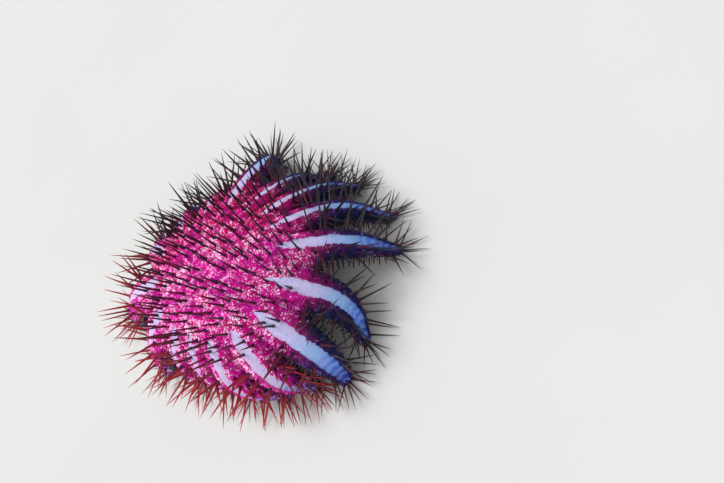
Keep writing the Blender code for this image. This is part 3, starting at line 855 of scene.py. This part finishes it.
def make_papulae(shape):
    """The papulae of one arm and its wedge, as points, colours and bake-map places."""
    stations, us = papula_places(shape)
    points, normals, along = shape.on_back(stations, us)
    edges = band_edge(shape, stations, us, points)
    kept = (edges < draw.uniform(*BAND_OVERLAP, len(edges))) & (points[:, 2] > PAPULA_FLOOR_ROOM)
    stations, us, points, normals, along = (
        values[kept] for values in (stations, us, points, normals, along)
    )
    count = len(points)
    share = arm_share(shape.arm, stations)
    slack = draw.normal(0, PAPULA_LEAN, (count, 3))
    directions = unit(normals + slack * 0.6 + along * 0.25)
    heights = PAPULA_HEIGHT * draw.uniform(0.65, 1.25, count)
    radii = PAPULA_RADIUS * draw.uniform(0.8, 1.2, count) * (1 - 0.2 * share)
    roots = points - normals * (SKIN_INSET + PAPULA_SINK)
    shapes = fingers(roots, directions, heights + PAPULA_SINK, radii, PAPULA_RINGS, PAPULA_SIDES)
    shapes[..., 2] = np.maximum(shapes[..., 2], PAPULA_FLOOR_CLEAR)
    ground = ground_colour(shape, stations, us, points)
    clumps = ragged(points, CLUMP_SIZE) + 0.6 * ragged(points, WAVE_SIZE)
    low = ramp(np.abs(us), 0.5, 0.4) * ramp(share, 0, 0.1)
    warm_and_lit = warm_lit_side(points)
    cold_shaded = (1 - warm_and_lit) * ramp(stations, COLD_SHADE_START, COLD_SHADE_RAMP)
    # More pale papulae on the lit side and fewer away from it, partly as painted light and shade.
    pale_chance = (PALE_SHARE - PALE_FADE * ramp(share, 0.02, 0.4)) * (1 - low) * (1 + 0.25 * warm_and_lit)
    pale_chance = pale_chance - 0.22 * cold_shaded - 0.2 * side_share(points, DEEP_HEADING, DEEP_REACH)
    pale = smooth((pale_chance + 0.6 * clumps - draw.uniform(0, 1, count)) / 0.7 + 0.5)
    bluish = smooth((share - 0.12) / 0.3 + low * 0.6) * (1 - 0.8 * warm_and_lit)
    fresh = mixed(linear(ROSE), linear(PALE_BLUE), np.clip(bluish, 0, 1))
    lit = mixed(ground, fresh, draw.uniform(0, 0.55, count) ** 1.5 + 0.25 * np.clip(clumps, 0, 1))
    lit = mixed(lit, linear(PALE_PINK), pale * 0.95)
    # Painted light and shade: papulae a little brighter on the lit side and darker away from it.
    lit = lit * (np.clip(1.12 + 0.7 * clumps, 0.6, 1.4) * (1 + 0.1 * warm_and_lit - 0.42 * cold_shaded))[:, None]
    # Each papula is painted darker at its root, as painted shade among the crowded fingers, and lighter at
    # its tip, partly its own paler tip and partly painted highlight.
    tip = np.minimum(lit * 1.12, 0.92)
    base = ground * 0.62
    tones = ring_tones((base, lit * 0.85, lit), tip, PAPULA_SIDES)
    return shapes, tones, skin_map(shape, stations, us)


def tipped(directions, along, across, leans, tilts):
    """directions tipped towards along by leans and towards across by tilts, in degrees."""
    return unit(
        directions
        + np.tan(np.radians(leans))[..., None] * along
        + np.tan(np.radians(tilts))[..., None] * across
    )


def upright(out, station):
    """out turned towards the vertical, as spines are on the disc and the near part of the arms."""
    share = UPRIGHT * (1 - ramp(station, DISC_EDGE, UPRIGHT_FADE))
    return unit(out + share * np.array([0.0, 0.0, 1.0]))


def arm_axis(shape):
    """Points down the middle of an arm's flesh, each with the flesh's half width there."""
    stations = np.linspace(DISC_EDGE + 0.006, shape.length, TRACE_POINTS)
    origins, _, outs, _ = shape.middle.at(stations)
    return origins - outs * body_depth(shape.arm, stations)[:, None] / 2, shape.half_width(stations)


Spine = namedtuple("Spine", "shape station u root direction length")


class SpineSet:
    """The spines set so far. Each new one takes the first of its choices that is clear, if any is.

    A choice is clear where its points, TRACE_POINTS of them, keep away from those of the others.
    """

    def __init__(self):
        self.axes = [arm_axis(shape) for shape in SHAPES]
        self.shares = np.linspace(ROOT_SHARE, 1.0, TRACE_POINTS)[:, None]
        self.spines = []
        self.traces = np.zeros((0, TRACE_POINTS, 3))

    def is_clear(self, trace, own_arm):
        if trace[:, 2].min() < FLOOR_CLEAR:
            return False
        for index, (middles, half_widths) in enumerate(self.axes):
            away = np.linalg.norm(trace[None] - middles[:, None], axis=2).min(axis=1)
            if index != own_arm and (away < half_widths + BODY_CLEAR).any():
                return False
        near = self.traces[np.linalg.norm(self.traces[:, 0] - trace[0], axis=1) < SPINE_NEAR]
        if not len(near):
            return True
        return np.linalg.norm(trace[None, :, None] - near[:, None], axis=3).min() > SPINE_CLEAR

    def place(self, shape, station, u, choices, own_arm):
        root = shape.on_back(np.array([station]), np.array([u]))[0][0]
        for direction, length in choices:
            trace = root + self.shares * length * direction
            if self.is_clear(trace, own_arm):
                self.spines.append(Spine(shape, station, u, root, direction, length))
                self.traces = np.concatenate([self.traces, trace[None]])
                return

    def cover_disc(self):
        """Rings of spines over the disc, set a step apart."""
        start = SHAPES[0].middle.at(0)[0]
        for ring, station in enumerate(DISC_SPINE_RINGS):
            radius = np.linalg.norm((SHAPES[0].middle.at(station)[0] - start)[:2])
            count = round(2 * math.pi * radius / DISC_SPINE_STEP)
            for i in range(count):
                turn = (i + 0.5 * (ring % 2) + draw.uniform(-PLACE_SPREAD, PLACE_SPREAD)) / count
                shape, u = wedge_at(2 * math.pi * turn)
                place = station + draw.uniform(-PLACE_SPREAD, PLACE_SPREAD) * DISC_SPINE_STEP
                _, along, out, across = shape.line(round(u, 2)).at(place)
                growth = (DISC_EDGE_SPINE_LENGTH - DISC_SPINE_LENGTH) * station / DISC_EDGE
                length = varied(DISC_SPINE_LENGTH + growth)
                lean, tilt = draw.uniform(-ANGLE_SPREAD, ANGLE_SPREAD, 2)
                out = upright(out, place)
                choices = [
                    (tipped(out, along, across, np.array(lean - back), np.array(tilt)), length)
                    for back in DISC_LEANS
                ]
                self.place(shape, place, u, choices, None)

    def cover_arm(self, shape):
        """Rows of spines down both sides of an arm, and a fan at its tip."""
        reach = shape.length - DISC_EDGE - 2 * ROW_MARGIN
        root = shape.middle.at(np.array([DISC_EDGE]))[0]
        kept_share = 1 - SPARSE_SHARE * side_share(root, SPARSE_HEADING, WARM_REACH)[0]
        for row in ARM_SPINE_ROWS:
            count = round(row.count * kept_share)
            for i in range(count):
                for side in (-1, 1):
                    spread = draw.uniform(-PLACE_SPREAD, PLACE_SPREAD)
                    share = (i + 0.5 + row.stagger * side + spread) / count
                    station = DISC_EDGE + ROW_MARGIN + share * reach
                    u = side * (row.across + draw.uniform(-0.04, 0.02))
                    _, along, out, across = shape.middle.at(station)
                    shrink = (ARM_SPINE_LENGTH - TIP_SPINE_LENGTH) * share**2
                    length = varied(ARM_SPINE_LENGTH - shrink)
                    lean, turn = draw.uniform(-ANGLE_SPREAD, ANGLE_SPREAD, 2)
                    lean = np.array(lean + LEAN_TO_TIP * share)
                    choices = [
                        (tipped(upright(out, station), along, side * across, lean,
                                np.array(min(row.tilt * part + turn, MOST_TILT))), size)
                        for size in (length, length * SHORTER)
                        for part in TILT_SHARES
                    ]
                    self.place(shape, station, u, choices, shape.index)
        for number, fan in enumerate(TIP_FANS):
            station = shape.length - ROW_MARGIN - FAN_STAGGER * (number % 2)
            _, along, out, across = shape.middle.at(station)
            length = varied(TIP_SPINE_LENGTH)
            choices = [
                (tipped(out, along, across, np.array(fan.lean * part), np.array(float(fan.tilt))), size)
                for size in (length, length * SHORTER)
                for part in FAN_LEAN_SHARES
            ]
            self.place(shape, station, fan.across, choices, shape.index)


def varied(length):
    return length * (1 + draw.uniform(-SPINE_SPREAD, SPINE_SPREAD))


def side_share(points, heading, full_reach):
    """1 on the side of the body with this heading, from full_reach outward, and 0 on the other side."""
    away = points[:, :2] - np.array([DISC_X, DISC_Y])
    reach = np.linalg.norm(away, axis=1)
    facing = away @ np.array([math.cos(heading), math.sin(heading)]) / np.maximum(reach, 0.001)
    return ramp(facing, -0.05, 0.6) * ramp(reach, 0, full_reach)


def warm_lit_side(points):
    """1 towards the lit side, whose red spines and brighter skin are partly painted light, and 0 where
    they are dark.
    """
    return side_share(points, WARM_LIT_HEADING, WARM_REACH)


def make_spines(spines):
    """Every spine: a knob of skin at its root, and a shaft that tapers to a sharp point."""
    roots = np.array([spine.root for spine in spines])
    directions = np.array([spine.direction for spine in spines])
    lengths = np.array([spine.length for spine in spines])
    stations = np.array([spine.station for spine in spines])
    count = len(spines)
    normals = np.array([
        spine.shape.on_back(np.array([spine.station]), np.array([spine.u]))[1][0] for spine in spines
    ])
    roots = roots - normals * SKIN_INSET
    bends = unit(draw.normal(0, 1, (count, 3))) * (SPINE_BEND * draw.uniform(0, 1, count))[:, None]
    shares = np.array([float(arm_share(spine.shape.arm, spine.station)) for spine in spines])
    shrink = 1 - TIP_THINNER * shares**2
    shrink = shrink * (1 + ARM_SPINE_EXTRA * ramp(stations, DISC_EDGE - 0.01, 0.02))
    knob = KNOB_HEIGHT * shrink / lengths
    rings = [(knob * share, KNOB_RADIUS * width) for share, width in KNOB_RINGS]
    rings += [(share, SHAFT_RADIUS * width) for share, width in SHAFT_RINGS]
    points = fingers(roots, directions, lengths, shrink, rings, SPINE_SIDES, bends, SPINE_RIPPLE)
    tones = spine_tones(roots, stations, count)
    places = np.array([skin_map(spine.shape, spine.station, spine.u) for spine in spines])
    return joined_fingers("spines", points, tones, places, SPINE_SIDES, len(rings), SPINE_PATCH)


def spine_tones(roots, stations, count):
    """Each spine's colours, ring by ring: a dark knob, a maroon shaft, and a green-black end that is red
    on the lit side, partly as painted light.
    """
    warm_and_lit = np.clip(warm_lit_side(roots) * draw.uniform(0.65, 1.25, count), 0, 1)
    inner = 1 - ramp(stations, 0.05, 0.05)
    knob = mixed(linear(KNOB_PURPLE), linear(PURPLE) * 0.5, draw.uniform(0, 0.6, count))
    low = mixed(linear(SHAFT_BROWN), linear(SHAFT_MAROON), np.clip(warm_and_lit + 0.3 * inner, 0, 1))
    rusty = draw.uniform(0, 1, count) ** 3 * (1 - inner)
    low = mixed(low, linear(SHAFT_RED) * 0.5, rusty * 0.45)
    # Red on the lit side, partly as painted light.
    low = mixed(low, linear(SHAFT_RED), warm_and_lit * (1 - inner) * 0.5)
    end = mixed(linear(SHAFT_GREEN), linear(SHAFT_RED), warm_and_lit)
    end = mixed(end, linear(SHAFT_MAROON) * 0.5, inner * 0.75)
    shade = draw.uniform(0.75, 1.3, count)[:, None]
    knob_rings = [knob * shade, knob * shade, mixed(knob, low, np.full(count, 0.15)) * shade,
                  mixed(knob, low, np.full(count, 0.7)) * shade]
    shaft_rings = [mixed(low, end, np.full(count, share)) * shade for share in (0.1, 0.35, 0.7, 1.0)]
    tip = mixed(end, low, np.full(count, 0.2)) * shade
    return ring_tones(knob_rings + shaft_rings, tip, SPINE_SIDES)


def underside_row(shape, row, side):
    """One row of fingers along a side of an arm's groove, cut short where the floor is near."""
    shares = (np.arange(row.count) + 0.5) / row.count
    stations = SEAT_RADIUS + (shape.length - row.margin - SEAT_RADIUS) * shares
    size = 1 - (1 - LEAST_FOOT) * arm_share(shape.arm, stations)
    stations = stations + side * row.shift * (stations[1] - stations[0])
    us = np.full(row.count, side * row.across)
    roots, normals = shape.on_underside(stations, us)
    sideways = shape.middle.at(stations)[3] * side * math.tan(math.radians(row.tilt))
    directions = unit(normals + sideways + draw.normal(0, row.scatter, (row.count, 3)))
    heights = row.length * size * draw.uniform(*row.lengths, row.count)
    room = np.where(directions[:, 2] < 0, roots[:, 2] / np.maximum(-directions[:, 2], 0.01), 1)
    kept = room > LEAST_ROOM
    heights = np.minimum(heights, room - TOE_CLEAR)
    made = fingers(
        roots[kept], directions[kept], heights[kept], (row.radius * size)[kept], row.rings, FOOT_SIDES
    )
    return made, skin_map(shape, stations[kept], us[kept], True)


def make_underside_rows():
    """Tube feet in two rows along each groove, and the short blunt spines beside them."""
    feet, short = [], []
    stem, sucker = linear(FOOT_COLOUR), linear(SUCKER_COLOUR)
    # Painted shade: each tube foot darker towards its root, where it meets the skin.
    foot_tones = ring_tones((stem * 0.7, stem * 0.9, stem, sucker, sucker), sucker * 0.8, FOOT_SIDES)
    for shape in SHAPES:
        for side in (-1, 1):
            made, places = underside_row(shape, FOOT_ROW, side)
            feet.append((made, np.tile(foot_tones, (len(made), 1, 1)), places))
        for row in GROOVE_SPINE_ROWS:
            for side in (-1, 1):
                made, places = underside_row(shape, row, side)
                warmth = draw.uniform(0.2, 0.5, len(made))
                base = mixed(linear(UNDERSIDE_PALE), linear(PURPLE) * 0.5, warmth)
                outer = np.full(len(made), ramp(row.across, 0.3, 0.5))
                base = mixed(base, linear(NAVY), outer)
                # Painted shade: each short spine darker at its root, where it meets the skin, and a little
                # lighter at its tip.
                tones = ring_tones((base * 0.6, base * 0.9, base), base * 1.1, FOOT_SIDES)
                short.append((made, tones, places))
    return [
        joined_fingers(name, *map(np.concatenate, zip(*grown)), FOOT_SIDES, len(rings), TUFT_PATCH)
        for name, grown, rings in (
            ("tube_feet", feet, FOOT_RINGS), ("groove_spines", short, GROOVE_SPINE_RINGS),
        )
    ]


def seat_height():
    """The level of the flat under the disc that the mouth sits on."""
    return float(np.mean([shape.column(np.array([SEAT_RADIUS]), 0.0, True)[0, 2] for shape in SHAPES]))


def make_mouth():
    """The mouth's folded membrane, turned from its profile, with the jaws' spines over it."""
    level = seat_height()
    turns = np.arange(MOUTH_SIDES) * 2 * math.pi / MOUTH_SIDES
    folds = np.cos(turns * ARM_COUNT)
    points = []
    for radius, height in MOUTH_PROFILE:
        wave = MOUTH_FOLD * folds * math.sin(math.pi * min(1, radius / 0.015))
        points.append(np.stack([
            DISC_X + (radius + wave) * np.cos(turns),
            DISC_Y + (radius + wave) * np.sin(turns),
            np.full(MOUTH_SIDES, level + height) - wave,
        ], axis=-1))
    points = np.array(points)
    ids = np.arange(points.shape[0] * MOUTH_SIDES).reshape(points.shape[:2])
    ids = np.column_stack([ids, ids[:, 0]])
    triangles = grid_triangles(ids, False)
    last = points.shape[0] * MOUTH_SIDES
    inner = ids[-1]
    cap = [(inner[i], inner[i + 1], last) for i in range(MOUTH_SIDES)]
    middle = np.array([[DISC_X, DISC_Y, level + MOUTH_PROFILE[-1][1]]])
    flat = np.vstack([points.reshape(-1, 3), middle])
    tones = np.tile(linear(MOUTH_COLOUR), (len(flat), 1))
    depth = np.repeat([radius for radius, _ in MOUTH_PROFILE], MOUTH_SIDES) / MOUTH_PROFILE[0][0]
    tones[:-1] = mixed(linear(CRIMSON) * 0.4, linear(MOUTH_COLOUR), smooth(depth * 1.6))
    patches = 0.5 + (flat[:, :2] - [DISC_X, DISC_Y]) / MOUTH_PATCH
    return new_mesh("mouth_membrane", flat, np.vstack([triangles, cap]), tones, patches)


def make_jaws():
    """Small blunt spines that lean over the mouth from between the arms."""
    level = seat_height() + MOUTH_PROFILE[2][1]
    roots, directions, places = [], [], []
    for shape in SHAPES:
        valley = shape.heading + half_gap(shape.index, 1)
        for i in range(JAW_SPINES):
            angle = valley + (i - 1) * JAW_STEP
            outward = np.array([math.cos(angle), math.sin(angle), 0.0])
            roots.append(np.array([DISC_X, DISC_Y, level]) + outward * JAW_RADIUS)
            directions.append(unit(-outward * 0.8 - np.array([0, 0, 0.75])))
            places.append(skin_map(shape, JAW_RADIUS, (i - 1) * 0.3, True))
    count = len(roots)
    heights = JAW_SPINE_LENGTH * draw.uniform(0.8, 1.1, count)
    made = fingers(
        np.array(roots), np.array(directions), heights, np.full(count, JAW_SPINE_RADIUS),
        GROOVE_SPINE_RINGS, FOOT_SIDES,
    )
    base = mixed(linear(UNDERSIDE_PALE), linear(PURPLE), draw.uniform(0, 0.5, count))
    # Painted shade: each jaw spine darker at its root, and a little lighter at its tip.
    tones = ring_tones((base * 0.7, base, base), base * 1.1, FOOT_SIDES)
    return joined_fingers(
        "jaw_spines", made, tones, np.array(places), FOOT_SIDES, len(GROOVE_SPINE_RINGS), TUFT_PATCH
    )


def make_sieves():
    """The sieve plates: low buttons on the back with winding grooves, painted darker in the grooves and
    lighter on the folds between them.
    """
    points, triangles, tones, patches = [], [], [], []
    for station, heading in SIEVES:
        shape, u = wedge_at(math.radians(heading))
        root, normal, along = (v[0] for v in shape.on_back(np.array([station]), np.array([u])))
        across = np.cross(normal, along)
        start = len(points)
        place = skin_map(shape, station, u)
        for ring in range(SIEVE_RINGS + 1):
            share = ring / SIEVE_RINGS
            for i in range(SIEVE_SIDES):
                turn = 2 * math.pi * i / SIEVE_SIDES
                flat = SIEVE_RADIUS * (1 - share) * (1 + SIEVE_WOBBLE * math.sin(3 * turn))
                winding = math.sin(SIEVE_FOLDS * turn + 5 * share)
                groove = SIEVE_GROOVE * winding * math.sin(math.pi * share)
                height = SIEVE_HEIGHT * math.sqrt(1 - (1 - share) ** 4) + groove
                spot = root + along * flat * math.cos(turn) + across * flat * math.sin(turn)
                points.append(spot + normal * (height - SKIN_INSET * 0.6))
                # Painted shade and light: darker down in the grooves, lighter on the folds.
                tones.append(linear(SIEVE_COLOUR) * (0.75 + groove / 0.0008))
                patches.append(place + 0.5 * TUFT_PATCH * (1 - share)
                               * np.array([math.cos(turn), math.sin(turn)]))
        ids = start + np.arange((SIEVE_RINGS + 1) * SIEVE_SIDES).reshape(-1, SIEVE_SIDES)
        triangles.append(grid_triangles(np.column_stack([ids, ids[:, 0]]), True))
    return new_mesh(
        "sieve_plates", np.array(points), np.vstack(triangles), np.array(tones), np.array(patches)
    )


class Finish:
    """A material under construction: its node tree, its shader and short ways to add nodes."""

    def __init__(self, name, roughness):
        self.material = bpy.data.materials.new(name)
        self.material.use_nodes = True
        self.tree = self.material.node_tree
        self.shader = self.tree.nodes["Principled BSDF"]
        self.shader.inputs["Roughness"].default_value = roughness
        self.place = self.tree.nodes.new("ShaderNodeTexCoord").outputs["Object"]

    def join(self, source, target):
        self.tree.links.new(source, target)

    def attribute(self, name, colour=True):
        node = self.tree.nodes.new("ShaderNodeAttribute")
        node.attribute_name = name
        return node.outputs["Color" if colour else "Fac"]

    def grain(self, size, detail=2.0, roughness=0.55):
        """Noise from 0 to 1 with features of this size in metres."""
        node = self.tree.nodes.new("ShaderNodeTexNoise")
        node.inputs["Scale"].default_value = 1 / size
        node.inputs["Detail"].default_value = detail
        node.inputs["Roughness"].default_value = roughness
        self.join(self.place, node.inputs["Vector"])
        return node.outputs["Fac"]

    def cells(self, size):
        """Distance to the nearest of many scattered points, for beads and pores."""
        node = self.tree.nodes.new("ShaderNodeTexVoronoi")
        node.inputs["Scale"].default_value = 1 / size
        self.join(self.place, node.inputs["Vector"])
        return node.outputs["Distance"]

    def remap(self, value, low, high, start=0.0, end=1.0):
        """value moved from the range low..high to start..end, eased at both ends."""
        node = self.tree.nodes.new("ShaderNodeMapRange")
        node.interpolation_type = "SMOOTHSTEP"
        for label, number in (("From Min", low), ("From Max", high), ("To Min", start), ("To Max", end)):
            node.inputs[label].default_value = number
        self.join(value, node.inputs["Value"])
        return node.outputs["Result"]

    def sum(self, first, second):
        node = self.tree.nodes.new("ShaderNodeMath")
        node.operation = "ADD"
        self.join(first, node.inputs[0])
        self.join(second, node.inputs[1])
        return node.outputs[0]

    def mix(self, share, first, second, blend="MIX"):
        node = self.tree.nodes.new("ShaderNodeMix")
        node.data_type = "RGBA"
        node.blend_type = blend
        targets = (node.inputs["Factor"], node.inputs[6], node.inputs[7])
        for socket, value in zip(targets, (share, first, second)):
            if isinstance(value, (int, float)):
                socket.default_value = value
            elif isinstance(value, (tuple, np.ndarray)):
                socket.default_value = (*value, 1)
            else:
                self.join(value, socket)
        return node.outputs[2]

    def colour(self, source):
        self.join(source, self.shader.inputs["Base Color"])

    def rough(self, source, low, high):
        self.join(self.remap(source, 0.3, 0.7, low, high), self.shader.inputs["Roughness"])

    def relief(self, heights):
        """Bump from (height, depth in metres) pairs, laid one over another."""
        normal = None
        for height, depth in heights:
            node = self.tree.nodes.new("ShaderNodeBump")
            node.inputs["Distance"].default_value = depth
            self.join(height, node.inputs["Height"])
            if normal:
                self.join(normal, node.inputs["Normal"])
            normal = node.outputs["Normal"]
        self.join(normal, self.shader.inputs["Normal"])

    def flesh(self, weight, depth):
        """Light that enters and scatters under the surface."""
        self.shader.inputs["Subsurface Weight"].default_value = weight
        self.shader.inputs["Subsurface Radius"].default_value = FLESH_TINT
        self.shader.inputs["Subsurface Scale"].default_value = depth


def skin_finish():
    """Ground colour between the bands, and pale granular bands with faint blue veins."""
    finish = Finish("skin", 0.45)
    fine, coarse, veins = finish.grain(0.0009, 3), finish.grain(0.0040, 2), finish.grain(0.0028, 4, 0.7)
    ground = finish.mix(finish.remap(fine, 0.35, 0.70), finish.attribute("tone"), linear(NAVY))
    ground = finish.mix(0.75, ground, finish.attribute("tone"))
    vein = finish.remap(veins, 0.47, 0.53, 0.0, 0.12)
    band = finish.mix(vein, finish.attribute("band"), linear(BAND_BLUE))
    band = finish.mix(finish.remap(fine, 0.50, 0.75, 0.0, 0.45), band, linear(BAND_WHITE), "SOFT_LIGHT")
    band = finish.mix(finish.remap(coarse, 0.45, 0.75, 0.0, 0.10), band, linear(PURPLE))
    edge = finish.sum(finish.attribute("edge", False), finish.remap(fine, 0.2, 0.8, -0.45, 0.45))
    finish.colour(finish.mix(finish.remap(edge, -0.2, 0.3), ground, band))
    finish.rough(coarse, 0.36, 0.55)
    finish.relief(((fine, 0.00035), (finish.cells(0.0011), 0.00030)))
    finish.flesh(0.06, 0.002)
    return finish.material


def grown_finish(name, roughness, flesh, grain_size, depth, dark_share=0.35, gloss=0.5):
    """What grows on the skin: its own colours, finely mottled, over a granular surface."""
    finish = Finish(name, roughness)
    fine, mottle = finish.grain(grain_size, 3), finish.grain(grain_size * 5, 2)
    tone = finish.attribute("tone")
    finish.shader.inputs["Specular IOR Level"].default_value = gloss
    dark = finish.mix(finish.remap(fine, 0.35, 0.75, 0.0, dark_share), tone, linear(NAVY))
    finish.colour(finish.mix(finish.remap(mottle, 0.4, 0.7, 0.0, 0.25), dark, tone))
    finish.rough(mottle, roughness - 0.08, roughness + 0.10)
    finish.relief(((fine, depth),))
    if flesh:
        finish.flesh(flesh, 0.0015)
    return finish.material


def floor_finish():
    """A plain pale matt floor with a trace of unevenness."""
    finish = Finish("floor", 0.85)
    cloud = finish.grain(0.35, 3)
    pale = linear(FLOOR_COLOUR)
    finish.colour(finish.mix(finish.remap(cloud, 0.3, 0.7), pale, pale * 0.97))
    finish.relief(((finish.grain(0.004, 2), 0.0001),))
    return finish.material


def dress(piece, material, slot, *nodes):
    """Gives a piece its finish and its place in the part."""
    piece.data.materials.append(material)
    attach(piece, "root")
    if nodes:
        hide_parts(*nodes)


def make_floor():
    """One flat pale floor."""
    half = FLOOR_SIZE / 2
    corners = [(-half, -half, 0), (half, -half, 0), (half, half, 0), (-half, half, 0)]
    mesh = bpy.data.meshes.new("floor")
    mesh.from_pydata(corners, [], [(0, 1, 2, 3)])
    floor = bpy.data.objects.new("floor", mesh)
    bpy.context.scene.collection.objects.link(floor)
    mesh.materials.append(floor_finish())


def make_light(name, heading, height, spread, power):
    """A soft wide light from one side, even over the whole floor."""
    lamp = bpy.data.lights.new(name, "SUN")
    lamp.angle = math.radians(spread)
    lamp.energy = power
    made = bpy.data.objects.new(name, lamp)
    angle, rise = math.radians(heading), math.radians(height)
    away = Vector((math.cos(angle) * math.cos(rise), math.sin(angle) * math.cos(rise), math.sin(rise)))
    made.location = away
    made.rotation_euler = away.to_track_quat("Z", "Y").to_euler()
    bpy.context.scene.collection.objects.link(made)


def make_world():
    world = bpy.data.worlds.new("studio")
    bpy.context.scene.world = world
    world.use_nodes = True
    background = world.node_tree.nodes["Background"]
    background.inputs["Color"].default_value = (*SKY_COLOUR, 1)
    background.inputs["Strength"].default_value = SKY_STRENGTH


def make_camera():
    """The photograph's camera, placed from where the disc's middle falls in the picture."""
    up_axis = np.array([
        -math.sin(CAMERA_TILT) * math.cos(CAMERA_TURN),
        -math.sin(CAMERA_TILT) * math.sin(CAMERA_TURN),
        -math.cos(CAMERA_TILT),
    ])
    picture_up = np.array([0.0, -1.0, 0.0])
    x_axis = unit(picture_up - (picture_up @ up_axis) * up_axis)
    y_axis = np.cross(up_axis, x_axis)
    offset = CAMERA_DISTANCE * np.array([
        (MIDDLE_PIXEL[0] - PHOTO_WIDTH / 2) / FOCAL_PIXELS,
        (MIDDLE_PIXEL[1] - PHOTO_HEIGHT / 2) / FOCAL_PIXELS,
        1.0,
    ])
    middle = np.array([DISC_X, DISC_Y, BACK_HEIGHT])
    place = middle - np.array([offset @ x_axis, offset @ y_axis, offset @ up_axis])
    right, down, ahead = np.array([x_axis, y_axis, up_axis]).T
    lens = bpy.data.cameras.new("camera")
    lens.sensor_width = SENSOR_WIDTH
    lens.lens = FOCAL_PIXELS / PHOTO_WIDTH * SENSOR_WIDTH
    camera = bpy.data.objects.new("camera", lens)
    pose = Matrix.Identity(4)
    for column, axis in enumerate((right, -down, -ahead, place)):
        for row in range(3):
            pose[row][column] = axis[row]
    camera.matrix_world = pose
    bpy.context.scene.collection.objects.link(camera)
    bpy.context.scene.camera = camera


def make_picture_plain():
    """Shows colours as they are, with no film-like curve over them."""
    bpy.context.scene.view_settings.view_transform = "Standard"


def main():
    flesh_nodes = ["disc"] + [f"arm_{index + 1:02d}" for index in range(ARM_COUNT)]
    dress(make_skin(), skin_finish(), "disc_skin", *flesh_nodes)
    papula_finish = grown_finish("papulae", 0.46, 0.2, 0.0006, 0.0001, 0.12, 0.28)
    for first in range(0, ARM_COUNT, ARMS_PER_COAT):
        grown = [make_papulae(shape) for shape in SHAPES[first : first + ARMS_PER_COAT]]
        points, tones, places = (np.concatenate(parts) for parts in zip(*grown))
        coat = joined_fingers(
            f"papulae_{first + 1:02d}", points, tones, places,
            PAPULA_SIDES, len(PAPULA_RINGS), TUFT_PATCH,
        )
        dress(coat, papula_finish, "arm_skin")
    spines = SpineSet()
    spines.cover_disc()
    for shape in SHAPES:
        spines.cover_arm(shape)
    dress(make_spines(spines.spines), grown_finish("spines", 0.46, 0, 0.0005, 0.00018), "arm_skin")
    feet, short = make_underside_rows()
    dress(feet, grown_finish("tube_feet", 0.34, 0.35, 0.0006, 0.0001), "arm_skin")
    dress(short, grown_finish("groove_spines", 0.5, 0.1, 0.0005, 0.0001), "arm_skin")
    membrane = grown_finish("mouth_membrane", 0.35, 0.3, 0.0008, 0.0002)
    dress(make_mouth(), membrane, "mouth_skin", "mouth")
    dress(make_jaws(), grown_finish("jaw_spines", 0.45, 0.1, 0.0005, 0.0001), "mouth_skin")
    dress(make_sieves(), grown_finish("sieve_plates", 0.5, 0.15, 0.0004, 0.00012), "disc_skin")
    make_floor()
    make_world()
    for light in LIGHTS:
        make_light(*light)
    make_camera()
    make_picture_plain()


main()
